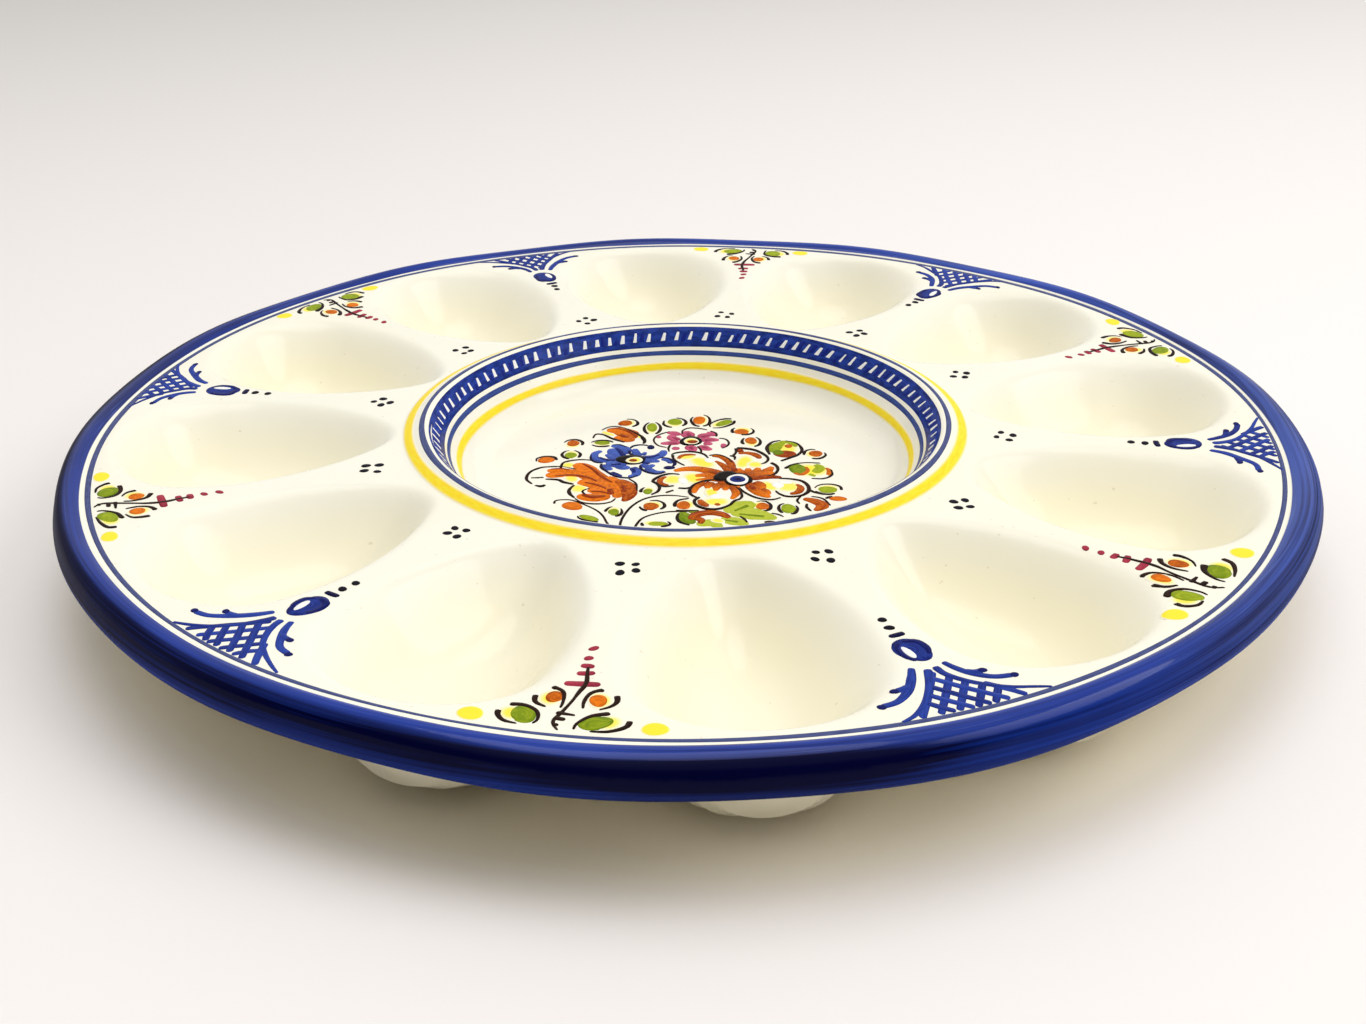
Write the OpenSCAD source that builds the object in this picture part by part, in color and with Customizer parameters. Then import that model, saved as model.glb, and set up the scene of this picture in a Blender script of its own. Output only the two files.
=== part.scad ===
// Deviled egg platter: a round glazed earthenware plate with a rolled blue rim,
// a ring of moulded egg wells, a shallow bowl for dip in the middle and a foot ring.
// The plate stands on z = 0 with its centre on the z axis.

/* [Plate] */
// Diameter over the rolled rim
plate_d = 325; // [290:1:380]
// Height from the table to the top of the rim
plate_h = 32; // [28:0.5:38]
// Thickness of the clay
clay_t = 6; // [5:0.25:7]
// Height of the bowl floor's underside above the table
floor_lift = 8.9; // [7:0.1:11]
// Clearance between the table and the swellings under the wells
table_gap = 4.9; // [3:0.1:6.5]

/* [Rim] */
// Height of the blue roll, from its top to its underside
rim_h = 10.5; // [10:0.25:12]
// How far the roll stands above the flat face
rim_rise = 1.1; // [0.6:0.1:1.6]
// Radius of the roll's upper and lower edges
rim_round = 4.2; // [3.8:0.1:4.8]
// How much further out the lower edge of the roll stands than the upper
rim_lean = 0.6; // [0:0.1:1]
// Width of the flat under the roll
rim_under_w = 1.5; // [1:0.25:2]

/* [Egg wells] */
// Plain strip between the outer end of a well and the thin blue line
well_gap = 1.1; // [0.6:0.1:2]
// Plain strip between the inner tip of a well and the yellow band
tip_gap = 2.4; // [1.6:0.1:4]
// Width of the land between two wells where they are widest
well_land = 14.3; // [12:0.1:20]
// Share of a well's length from its outer end to its widest place
well_heel_share = 0.315; // [0.28:0.005:0.4]
// Share of its width that a well loses towards its inner tip
well_taper_share = 0.35; // [0.2:0.05:0.5]
// Power that shapes the inner tip, where a lower value makes it blunter
tip_power = 0.9; // [0.8:0.05:1]
// How far the hollow's deepest point lies inwards of its widest place
hollow_drift = 5; // [0:0.5:8]
// The same for the swelling under the plate
swelling_drift = 1; // [0:0.5:4]
// Share by which the lower outlines are stretched along the well
well_stretch_share = 0.5; // [0:0.1:0.6]
// Fullness of the hollow, where a higher value has steeper sides and a wider bottom
hollow_fullness = 1.5; // [1.2:0.1:1.8]
// Fullness of the swelling
swelling_fullness = 5; // [3:0.5:6]

/* [Dip bowl] */
// Diameter at which the flat face starts to roll into the bowl
bowl_d = 140.4; // [120:0.2:165]
// Slope of the bowl's wall in degrees
bowl_slope = 55; // [50:1:60]
// Radius that rolls the flat face into the wall
lip_round = 2.6; // [2:0.1:3]
// Radius between the wall and the floor
floor_round = 8; // [6:0.5:9]
// Flat margin round the bowl that belongs to its lip
lip_margin = 2; // [1.6:0.1:2.2]

/* [Foot ring] */
// How far the foot ring reaches out past the edge of the bowl's flat floor
foot_reach = 6.5; // [3:0.5:8]
// Width of the foot ring where it meets the bowl
foot_w = 7; // [5:0.5:8]
// Width of the face that stands on the table
foot_face_w = 4; // [3:0.25:4.5]

/* [Painted bands] */
// Depth to which the colours are inlaid in the glaze
band_t = 0.5; // [0.4:0.1:0.8]
// White line between the blue roll and the thin blue line
rim_line_gap = 1.9; // [1.2:0.1:2.4]
// Width of the thin blue line inside the rim
rim_line_w = 2; // [1.2:0.1:2.6]
// White line between the lip's blue line and the yellow band
yellow_gap = 1.8; // [1.6:0.1:2.2]
// Width of the yellow band round the bowl
yellow_w = 3.5; // [3:0.1:3.8]
// How far the lip's blue line reaches onto the flat face
lip_line_flat = 0.8; // [0.4:0.1:1.2]
// How far the lip's blue line turns down over the roll, in degrees
lip_line_turn = 25; // [15:1:35]
// Share of the wall's straight height above the dark band with white ticks
tick_top_share = 0.035; // [0.01:0.005:0.08]
// Share of that height which the dark band takes
tick_share = 0.35; // [0.25:0.01:0.37]
// Share of that height above the second blue line
wall_line_top_share = 0.46; // [0.45:0.01:0.5]
// Share which the second blue line takes
wall_line_share = 0.105; // [0.07:0.005:0.14]
// Share of that height above the yellow line low in the bowl
low_yellow_top_share = 0.67; // [0.65:0.01:0.7]
// Share which the low yellow line takes
low_yellow_share = 0.21; // [0.15:0.01:0.26]

/* [Hidden] */
// Colours of the glazes and of the bare clay
cream_glaze = "#F7F1DD";
rim_blue = "#2B459C";
line_blue = "#4A6AB4";
tick_blue = "#141F66";
band_yellow = "#FBD92B";
bare_clay = "#C98F6B";

// Number of wells, which the list of nodes follows
well_count = 12;
// Angle between neighbouring wells
well_pitch = 360 / well_count;
// Numbers of segments round a whole turn, in a rounded corner and round a well's outline
turn_fn = 180;
corner_steps = 8;
outline_steps = 32;
// Sizes of the nested outlines that form a well, as shares of its lip
hollow_shares = [1, 0.94, 0.87, 0.79, 0.70, 0.60, 0.48, 0.34, 0.18];
swelling_shares = [1, 0.97, 0.93, 0.88, 0.82, 0.74, 0.62, 0.36];
// How far cutting shapes reach past a face
overrun = 1;

// Height of the flat face
face_z = plate_h - rim_rise;

// Radii, from the outside inwards
rim_r = plate_d / 2;
rim_upper_r = rim_r - rim_lean - rim_round;
rim_lower_r = rim_r - rim_round;
// The roll starts where its upper round comes down to the flat face
rim_start_turn = 180 - asin(1 - rim_rise / rim_round);
rim_in_r = rim_upper_r + rim_round * cos(rim_start_turn);
rim_line_out_r = rim_in_r - rim_line_gap;
rim_line_in_r = rim_line_out_r - rim_line_w;
lip_r = bowl_d / 2;
lip_seat_r = lip_r + lip_margin;
lip_line_r = lip_r + lip_line_flat;
yellow_in_r = lip_line_r + yellow_gap;
yellow_out_r = yellow_in_r + yellow_w;

// A well fills the space between the bands, and its neighbours leave a land between them
well_out_r = rim_line_in_r - well_gap;
well_l = well_out_r - yellow_out_r - tip_gap;
well_heel = well_l * well_heel_share;
well_wide_r = well_out_r - well_heel;
well_w = 2 * well_wide_r * tan(well_pitch / 2) - well_land;
well_depth = face_z - clay_t - table_gap;

// Depth of the bowl's floor below the top face
bowl_depth = face_z - clay_t - floor_lift;

// The straight part of the bowl's wall starts where the lip's roll ends
wall_top_r = lip_r - lip_round * sin(bowl_slope);
wall_top_drop = lip_round * (1 - cos(bowl_slope));
// It ends where the round of the floor starts
wall_end_drop = bowl_depth - floor_round * (1 - cos(bowl_slope));
wall_drop = wall_end_drop - wall_top_drop;
wall_end_r = wall_r(wall_end_drop);
floor_r = wall_end_r - floor_round * sin(bowl_slope);
floor_top_z = face_z - bowl_depth;
floor_round_z = floor_top_z + floor_round;

// The underside of the wall is a tangent from the seat to the round under the floor
seat_dr = lip_seat_r - floor_r;
seat_dz = face_z - clay_t - floor_round_z;
under_round = floor_round + clay_t;
under_turn = atan2(seat_dz, seat_dr) - acos(under_round / norm([seat_dr, seat_dz]));
under_arc = arc([floor_r, floor_round_z], under_round, -90, under_turn);

foot_r = floor_r + foot_reach;
foot_taper = (foot_w - foot_face_w) / 2;

function well_name(k) = str("egg_well_", k < 10 ? "0" : "", k);

// Radius of the bowl's wall at a drop below the top face
function wall_r(drop) = wall_top_r - (drop - wall_top_drop) / tan(bowl_slope);

// Points on an arc about a centre, from angle a to angle b
function arc(centre, radius, a, b) = [
    for (i = [0 : corner_steps])
        let (t = a + (b - a) * i / corner_steps)
        centre + radius * [cos(t), sin(t)]
];

// Outline of a well about its widest place, with the plate's rim towards +x
function outline_point(t) =
    let (
        inward = max(0, -cos(t)),
        power = inward > 0 ? tip_power : 1,
        reach = inward > 0 ? -(well_l - well_heel) * pow(inward, power) : well_heel * cos(t),
        spread = sign(sin(t)) * pow(abs(sin(t)), power)
    )
    [reach, well_w / 2 * spread * (1 - well_taper_share * inward * inward)];
well_outline = [for (i = [0 : outline_steps - 1]) outline_point(360 * i / outline_steps)];

// Smooth share of the depth at a share of the outline: none at the lip, all in the middle
function depth_share(share, fullness) = (1 + cos(180 * pow(share, fullness))) / 2;

// A lower outline is drawn in towards the deepest point, and less along the well than across
function sunk_x(x, s, drift) = x * s * (1 + well_stretch_share * (1 - s)) - drift * (1 - s);

// Nested outlines that sink from top_z, one after the other, and the point they close on
function sinking_points(shares, fullness, drift, top_z) = concat(
    [
        for (s = shares, p = well_outline)
            [sunk_x(p[0], s, drift), s * p[1], top_z - well_depth * depth_share(s, fullness)]
    ],
    [[-drift, 0, top_z - well_depth]]
);

// Triangles between nested outlines and on to the closing point, seen from above or below
function ring_faces(rings, first, from_above) = [
    for (k = [0 : rings - 1], i = [0 : outline_steps - 1])
        let (
            here = first + k * outline_steps,
            next = here + outline_steps,
            j = (i + 1) % outline_steps,
            outer = [here + i, here + j],
            inner = k == rings - 1 ? [next, next] : [next + i, next + j],
            one = [outer[0], outer[1], inner[1]],
            two = [outer[0], inner[1], inner[0]]
        )
        each concat(
            [from_above ? [one[2], one[1], one[0]] : one],
            k == rings - 1 ? [] : [from_above ? [two[2], two[1], two[0]] : two]
        )
];

// Section of the rolled rim, right of the plate's axis
module rim_section() {
    lean_angle = atan2(rim_lean, rim_h - 2 * rim_round);
    polygon(concat(
        [[rim_in_r, face_z - clay_t]],
        arc([rim_upper_r, plate_h - rim_round], rim_round, rim_start_turn, lean_angle),
        arc([rim_lower_r, plate_h - rim_h + rim_round], rim_round, lean_angle, -90),
        [[rim_lower_r - rim_under_w, plate_h - rim_h]]
    ));
}

// Section of the bowl's wall with its lip, from the flat margin to the edge of the floor
module wall_section() {
    polygon(concat(
        [[lip_seat_r, face_z - clay_t], [lip_seat_r, face_z]],
        arc([lip_r, face_z - lip_round], lip_round, 90, 90 + bowl_slope),
        arc([floor_r, floor_round_z], floor_round, bowl_slope - 90, -90),
        under_arc
    ));
}

// All that lies above the bowl's underside, with the hollow in it
module bowl_space() {
    polygon(concat(
        [[0, face_z], [0, floor_lift]],
        under_arc,
        [[lip_seat_r, face_z - clay_t], [lip_seat_r, face_z]]
    ));
}

// Section cut by a band on the straight part of the wall
module wall_band_zone(top_share, share) {
    deep = band_t / sin(bowl_slope);
    upper_drop = wall_top_drop + wall_drop * top_share;
    lower_drop = upper_drop + wall_drop * share;
    upper_r = wall_r(upper_drop);
    lower_r = wall_r(lower_drop);
    polygon([
        [upper_r + deep, face_z - upper_drop],
        [upper_r - overrun, face_z - upper_drop],
        [lower_r - overrun, face_z - lower_drop],
        [lower_r + deep, face_z - lower_drop]
    ]);
}

// Section cut by the blue line over the lip
module lip_line_zone() {
    centre = [lip_r, face_z - lip_round];
    turned = 90 + lip_line_turn;
    polygon(concat(
        [[lip_line_r, face_z + overrun], [lip_line_r, face_z - band_t]],
        arc(centre, lip_round - band_t, 90, turned),
        [centre + (lip_round + overrun) * [cos(turned), sin(turned)]],
        [centre + (lip_round + overrun) * [0, 1]]
    ));
}

module all_wall_zones() {
    lip_line_zone();
    wall_band_zone(tick_top_share, tick_share);
    wall_band_zone(wall_line_top_share, wall_line_share);
    wall_band_zone(low_yellow_top_share, low_yellow_share);
}

// Flat ring under the top face
module face_ring(inner_r, outer_r, thickness, top_z = face_z) {
    translate([0, 0, top_z - thickness])
        linear_extrude(thickness)
            difference() {
                circle(outer_r, $fn = turn_fn);
                circle(inner_r, $fn = turn_fn);
            }
}

module at_well(k) {
    rotate([0, 0, (k - 0.5) * well_pitch])
        translate([well_wide_r, 0, 0])
            children();
}

module rim() {
    color(rim_blue)
        rotate_extrude($fn = turn_fn)
            rim_section();
}

// The flat face with an opening for each well and a groove for each band
module deck() {
    color(cream_glaze)
        difference() {
            face_ring(lip_seat_r, rim_in_r, clay_t);
            for (k = [1 : well_count])
                at_well(k)
                    translate([0, 0, face_z - clay_t - overrun])
                        linear_extrude(clay_t + 2 * overrun)
                            polygon(well_outline);
            face_ring(rim_line_in_r, rim_line_out_r, band_t + overrun, face_z + overrun);
            face_ring(yellow_in_r, yellow_out_r, band_t + overrun, face_z + overrun);
        }
}

// One moulded well: a soft-lipped egg-shaped hollow and the swelling under it
module egg_well(k) {
    hollow_rings = len(hollow_shares);
    swelling_rings = len(swelling_shares);
    under_first = hollow_rings * outline_steps + 1;
    points = concat(
        sinking_points(hollow_shares, hollow_fullness, hollow_drift, face_z),
        sinking_points(swelling_shares, swelling_fullness, swelling_drift, face_z - clay_t)
    );
    edge_faces = [
        for (i = [0 : outline_steps - 1])
            let (j = (i + 1) % outline_steps)
            each [[i, j, under_first + j], [i, under_first + j, under_first + i]]
    ];
    color(cream_glaze)
        at_well(k)
            polyhedron(points, concat(
                ring_faces(hollow_rings, 0, true),
                ring_faces(swelling_rings, under_first, false),
                edge_faces
            ));
}

module bowl_wall() {
    color(cream_glaze)
        rotate_extrude($fn = turn_fn)
            difference() {
                wall_section();
                all_wall_zones();
            }
}

module bowl_floor() {
    color(cream_glaze)
        translate([0, 0, floor_lift])
            cylinder(h = clay_t, r = floor_r, $fn = turn_fn);
}

// The ring reaches up to the bowl's underside, and its lower face is bare clay
module foot_ring() {
    color(bare_clay)
        rotate_extrude($fn = turn_fn)
            difference() {
                polygon([
                    [foot_r - foot_w, face_z - clay_t],
                    [foot_r, face_z - clay_t],
                    [foot_r, floor_lift],
                    [foot_r - foot_taper, 0],
                    [foot_r - foot_taper - foot_face_w, 0],
                    [foot_r - foot_w, floor_lift]
                ]);
                bowl_space();
            }
}

module rim_line() {
    color(line_blue)
        face_ring(rim_line_in_r, rim_line_out_r, band_t);
}

module yellow_band() {
    color(band_yellow)
        face_ring(yellow_in_r, yellow_out_r, band_t);
}

// A band in the bowl is the part of the wall's section inside its zone
module wall_inlay(shade) {
    color(shade)
        rotate_extrude($fn = turn_fn)
            intersection() {
                wall_section();
                children();
            }
}

module lip_line() {
    wall_inlay(line_blue)
        lip_line_zone();
}

module tick_band() {
    wall_inlay(tick_blue)
        wall_band_zone(tick_top_share, tick_share);
}

module wall_line() {
    wall_inlay(line_blue)
        wall_band_zone(wall_line_top_share, wall_line_share);
}

module low_yellow_line() {
    wall_inlay(band_yellow)
        wall_band_zone(low_yellow_top_share, low_yellow_share);
}

rim();
deck();
bowl_wall();
bowl_floor();
foot_ring();
for (k = [1 : well_count]) {
    egg_well(k);
}
rim_line();
yellow_band();
lip_line();
tick_band();
wall_line();
low_yellow_line();
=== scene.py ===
"""Glazes and painting of a deviled egg platter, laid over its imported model.

Lengths in this file are millimetres, except in Blender's own properties, nodes and meshes,
which are in metres. Painted marks are drawn flat, seen from above, and laid on the glaze.
"""
import math

import bpy
import numpy as np
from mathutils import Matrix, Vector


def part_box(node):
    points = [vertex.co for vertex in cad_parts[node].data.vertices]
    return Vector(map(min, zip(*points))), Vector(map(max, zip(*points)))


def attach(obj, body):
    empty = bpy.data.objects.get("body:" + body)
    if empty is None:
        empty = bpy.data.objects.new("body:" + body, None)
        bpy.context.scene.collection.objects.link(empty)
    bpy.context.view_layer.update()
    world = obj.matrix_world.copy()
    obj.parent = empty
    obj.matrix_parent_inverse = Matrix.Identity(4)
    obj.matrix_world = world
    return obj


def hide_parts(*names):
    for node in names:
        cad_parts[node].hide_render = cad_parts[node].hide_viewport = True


bl_info = {
    "name": "Deviled Egg Platter",
    "version": (1, 0, 0),
    "blender": (4, 5, 0),
    "location": "3D View > Sidebar > Platter",
    "description": "Builds the glazed body and the brush painting of an egg platter",
    "category": "Object",
}

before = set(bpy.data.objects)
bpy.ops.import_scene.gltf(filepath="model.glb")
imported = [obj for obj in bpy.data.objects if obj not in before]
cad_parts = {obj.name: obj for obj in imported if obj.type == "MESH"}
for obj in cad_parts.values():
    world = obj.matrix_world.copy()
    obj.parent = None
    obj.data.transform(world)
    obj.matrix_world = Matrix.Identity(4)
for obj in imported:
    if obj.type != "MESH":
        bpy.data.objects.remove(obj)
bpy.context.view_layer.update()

MM = 0.001
WELLS = 12
PITCH = 2 * math.pi / WELLS


def top_of(node):
    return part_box(node)[1].z / MM


def bottom_of(node):
    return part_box(node)[0].z / MM


def reach_of(node):
    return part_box(node)[1].x / MM


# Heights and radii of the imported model
FACE = top_of("deck")
FACE_UNDER = bottom_of("deck")
CLAY = FACE - FACE_UNDER
RIM_TOP = top_of("rim")
RIM_UNDER = bottom_of("rim")
RIM_R = reach_of("rim")
LIP_SEAT = reach_of("bowl_wall")
FLOOR_R = reach_of("bowl_floor")
FLOOR_TOP = top_of("bowl_floor")
FLOOR_UNDER = bottom_of("bowl_floor")
FOOT_R = reach_of("foot_ring")
LINE_OUT = reach_of("rim_line")
BAND_OUT = reach_of("yellow_band")

# The rim's roll: its round, how far its side leans, and the flat under it
RIM_ROUND = 4.2
RIM_LEAN = 0.6
RIM_FLAT = 1.5
RIM_UPPER = RIM_R - RIM_LEAN - RIM_ROUND
RIM_START = math.pi - math.asin(1 - (RIM_TOP - FACE) / RIM_ROUND)
RIM_IN = RIM_UPPER + RIM_ROUND * math.cos(RIM_START)

# The bowl's lip, wall and floor
CREST_TO_SEAT = 2
LIP_R = LIP_SEAT - CREST_TO_SEAT
LIP_ROUND = 2.6
SLOPE = math.radians(55)
FLOOR_ROUND = 8
WALL_TOP_R = LIP_R - LIP_ROUND * math.sin(SLOPE)
WALL_TOP_Z = FACE - LIP_ROUND * (1 - math.cos(SLOPE))
WALL_END_R = FLOOR_R + FLOOR_ROUND * math.sin(SLOPE)

# The lip stands a little above the face, and the land falls away round it
LIP_RAISE = 0.45
LIP_FALL = math.radians(24)
LAND_DROP = 1.7
LAND_ROUND = 5
LAND_OUT = LINE_OUT - 1.5

# One egg well, measured from its widest place, with the rim towards +x
WELL_TO_LINE = 3.1
WELL_TO_BAND = 2.4
HALF_RIDGE = 7.15
HEEL_SHARE = 0.315
WELL_OUT = LINE_OUT - WELL_TO_LINE
WELL_LENGTH = WELL_OUT - BAND_OUT - WELL_TO_BAND
HEEL = HEEL_SHARE * WELL_LENGTH
POINT = WELL_LENGTH - HEEL
WIDE_R = WELL_OUT - HEEL
HALF_WIDTH = WIDE_R * math.tan(PITCH / 2) - HALF_RIDGE
WELL_DEPTH = FACE_UNDER - bottom_of("egg_well_01")

# How much a well narrows to its tip, how blunt the tip is, and how much longer the
# outline gets for its width further down
TAPER = 0.35
TIP_POWER = 0.9
STRETCH = 0.5

# The hollow and the swelling under it: how far the lowest place lies towards the rim, how
# full the sides are, and where the lip begins as a share of the outline
HOLLOW = {"drift": 5, "fullness": 1.5, "lip": 1.08}
SWELLING = {"drift": 1, "fullness": 5, "lip": 1}

# Between which shares of the outline a point of a well is sought, by how many halvings
LEAST_SHARE = 1e-4
MOST_SHARE = 1.25
HALVINGS = 22

# Where the wave of the face begins outside the bowl, and where it is full
WAVE_IN = 82
WAVE_OUT = RIM_IN - 2

# Slow swings round the plate: how many to a turn, how large, and where each begins
SWAY_SWINGS = ((1, 1, 0.15), (2, 0.6, 0), (3, 0.7, 0.5))
WANDER_SWINGS = ((1, 1.6, 0), (3, 0.7, -0.7), (4, 1.2, 1.6), (5, 1, 1), (6, 0.7, 2.5))

# Steps of a turned section, how near points are merged, and the bend that stays sharp
ROUND_STEPS = 576
MERGE = 0.01 * MM
SHARP_BEND = math.radians(50)

# Degrees from the plate's -y side to the side that faces the camera
FRONT_TURN = 8.8


def linear(code):
    """Scene-linear colour of a hex code."""
    parts = [int(code[i:i + 2], 16) / 255 for i in (1, 3, 5)]
    return tuple(c / 12.92 if c <= 0.04045 else ((c + 0.055) / 1.055) ** 2.4 for c in parts)


def length(name, text, millimetres):
    return bpy.props.FloatProperty(
        name=name, description=text, default=millimetres * MM, min=0, unit="LENGTH",
        precision=5)


def number(name, text, value, low=0.0, high=1e4):
    return bpy.props.FloatProperty(
        name=name, description=text, default=value, min=low, max=high)


def colour(name, text, code):
    return bpy.props.FloatVectorProperty(
        name=name, description=text, default=linear(code), size=3, min=0, max=1,
        subtype="COLOR")


class PLATTER_PG_form(bpy.types.PropertyGroup):
    """How far the hand-made plate strays from true"""

    wave: length("Wave of the face", "How far the face rises past each egg well", 0.2)
    roll: length("Wave of the rim", "How far the roll rises past each egg well", 0.45)
    sway: length("Sway of the face", "Slow rise and fall of the face round the plate", 0.3)
    wander: length("Wander of the outline", "How far the rim's outline strays", 0.35)
    fatten: length("Fat of the rim", "How far glaze and hand fatten the roll", 0.3)


class PLATTER_PG_glazes(bpy.types.PropertyGroup):
    """Colours of the glazes, the enamels and the clay"""

    cream: colour("Cream glaze", "Tin glaze on the raised parts", "#FBF8E8")
    # Colour of the wells: partly glaze that has run thick, partly painted shade
    cream_pooled_and_shaded: colour("Pooled cream", "The same glaze where it has run thick", "#F8F0CF")
    speck: colour("Speck", "Fine specks in the cream glaze", "#B79A6A")
    cobalt: colour("Cobalt", "Blue glaze of the rim", "#1B3CA2")
    # On the rim this colour is also painted shade on the roll's outer side and at the plate's
    # sides
    cobalt_deep: colour("Deep cobalt", "The same glaze where it lies thick", "#02042E")
    # On the rim this colour is also a painted highlight at the right
    cobalt_thin: colour("Thin cobalt", "The same glaze where the brush ran dry", "#4F6CC6")
    line: colour("Line blue", "Blue of the thin lines", "#40589E")
    line_deep: colour("Line slate", "The thin lines where they lie thick", "#262C58")
    brush_blue: colour("Brush blue", "Blue of the lattices", "#2A45A4")
    indigo: colour("Indigo", "Darker touches between the white ticks", "#1B2C8A")
    brush_deep: colour("Deep brush blue", "The same blue at the ends of strokes", "#0A125A")
    yellow: colour("Yellow", "Yellow of the bands and blobs", "#FFEA3C")
    yellow_deep: colour("Deep yellow", "The same yellow where it lies thick", "#FFD01A")
    petal: colour("Petal yellow", "Pale yellow of petals and buds", "#FFEE6C")
    lime: colour("Young green", "Yellow-green of the broad leaves", "#C2CA48")
    slate: colour("Slate", "Grey blue of the line next to the rim", "#566090")
    green: colour("Leaf green", "Green of leaves and buds", "#A6B420")
    green_deep: colour("Deep green", "The same green where it lies thick", "#5E7A06")
    orange: colour("Orange", "Orange of petals and buds", "#EE7C0C")
    orange_deep: colour("Burnt orange", "The same orange where it lies thick", "#862A00")
    crimson: colour("Crimson", "Dashes of the sprigs", "#C04054")
    crimson_deep: colour("Deep crimson", "The same where it lies thick", "#862036")
    rose: colour("Rose", "Petals of the rose flower", "#D05F80")
    rose_deep: colour("Deep rose", "The same where it lies thick", "#8E2A4A")
    ink: colour("Outline brown", "Thin outlines and stems", "#2E160A")
    ink_deep: colour("Outline black", "Outlines where they lie thick", "#080402")
    white: colour("White", "White of ticks and highlights", "#F6F6F2")
    clay: colour("Bare clay", "Fired clay of the standing face", "#B9805C")
    clay_grain: colour("Clay grain", "Darker grain of the same clay", "#A66B4A")


class PLATTER_PG_painting(bpy.types.PropertyGroup):
    """Sizes of the brushwork"""

    relief: length("Relief", "How far enamel stands above the glaze", 0.07)
    dot: length("Dot size", "Diameter of the dots of the four-dot marks", 2.1)
    ticks: bpy.props.IntProperty(
        name="White ticks", description="Number of ticks round the bowl", default=100, min=12)


class PLATTER_PG_stage(bpy.types.PropertyGroup):
    """Floor, light and camera"""

    floor: colour("Floor", "Colour of the floor near the plate", "#F8F3F0")
    # Painted shade: the floor is painted towards this colour far off and to the left
    floor_far_painted_shade: colour("Far floor", "Colour of the floor behind the plate", "#D8D5D0")
    # Painted shadow and painted bounce light on the floor under the plate, darker at the left,
    # lighter at the right
    painted_shadow_left: colour("Left shade", "Floor under the plate at its left", "#DED6C0")
    painted_light_right: colour("Right shade", "Floor under the plate at its right", "#FFF7E4")
    key: number("Key lamp", "Power of the lamp at the right, in watts", 9)
    top: number("Top lamp", "Power of the soft lamp overhead, in watts", 7)
    room: number("Room light", "Strength of the light that comes from all round", 0.76)
    lens: bpy.props.FloatProperty(
        name="Lens", description="Focal length of the camera", default=41.2155, min=1,
        unit="CAMERA")


def settings(group):
    return getattr(bpy.context.scene, "platter_" + group)


def millimetres(value):
    return value / MM


# Shape of the glazed surface

def past_well(angle):
    """One past the middle of each egg well, none half-way between two."""
    return (1 - np.cos(WELLS * angle)) / 2


def swings(angle, table):
    """Sum of the slow swings of a table at an angle round the plate."""
    return sum(size * np.sin(turns * angle + start) for turns, size, start in table)


def wave_at(angle):
    """Height that the rim gains at an angle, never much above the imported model."""
    form = settings("form")
    rise = millimetres(form.wave) * past_well(angle)
    return rise + millimetres(form.sway) * (swings(angle, SWAY_SWINGS) - 1)


def waved(radius, angle):
    """Height that the face gains, which fades out from the rim to the bowl."""
    share = np.clip((radius - WAVE_IN) / (WAVE_OUT - WAVE_IN), 0, 1)
    return wave_at(angle) * share * share * (3 - 2 * share)


def well_depth(x, y, drift, fullness, lip):
    """Depth of a hollow or swelling at points measured from a well's widest place."""
    low = np.full_like(x, LEAST_SHARE)
    high = np.full_like(x, MOST_SHARE)
    for _ in range(HALVINGS):
        s = (low + high) / 2
        along = (x + drift * (1 - s)) / (s * (1 + STRETCH * (1 - s)))
        inward = np.clip(-along / POINT, 0, 1) ** (1 / TIP_POWER)
        outward = np.clip(along / HEEL, 0, 1)
        sine = np.sqrt(1 - np.where(along < 0, inward, outward) ** 2)
        half = HALF_WIDTH * np.where(
            along < 0, sine ** TIP_POWER * (1 - TAPER * inward ** 2), sine)
        inside = (along > -POINT) & (along < HEEL) & (np.abs(y) < s * half)
        high = np.where(inside, s, high)
        low = np.where(inside, low, s)
    share = np.clip((low + high) / 2 / lip, 0, 1)
    return WELL_DEPTH * (1 + np.cos(np.pi * share ** fullness)) / 2


def sunk(radius, angle, shape):
    """Depth of the nearest well at points given by radius and angle."""
    off = (angle % PITCH) - PITCH / 2
    depth = np.zeros_like(radius)
    near = (radius > BAND_OUT) & (radius < LINE_OUT)
    x = radius[near] * np.cos(off[near]) - WIDE_R
    y = radius[near] * np.sin(off[near])
    depth[near] = well_depth(x, y, **shape)
    return depth


def land_height(radius):
    """Height of the land over the face, from the crest of the bowl's lip outwards."""
    out = radius - LIP_R
    crest = LIP_ROUND * math.sin(LIP_FALL)
    crest_drop = LIP_ROUND * (1 - math.cos(LIP_FALL))
    hollow_drop = LAND_ROUND * (1 - math.cos(LIP_FALL))
    straight = LIP_RAISE + LAND_DROP - crest_drop - hollow_drop
    foot = crest + straight / math.tan(LIP_FALL) + LAND_ROUND * math.sin(LIP_FALL)
    drop = np.where(
        out < crest, LIP_ROUND - np.sqrt(LIP_ROUND ** 2 - np.clip(out, 0, crest) ** 2),
        crest_drop + (out - crest) * math.tan(LIP_FALL))
    rest = np.clip(foot - out, 0, LAND_ROUND * math.sin(LIP_FALL))
    hollow = LIP_RAISE + LAND_DROP - (LAND_ROUND - np.sqrt(LAND_ROUND ** 2 - rest ** 2))
    height = LIP_RAISE - np.where(out > foot - LAND_ROUND * math.sin(LIP_FALL), hollow, drop)
    rise = np.clip((out - foot) / (LAND_OUT - LIP_R - foot), 0, 1)
    return height + LAND_DROP * rise ** 3


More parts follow.
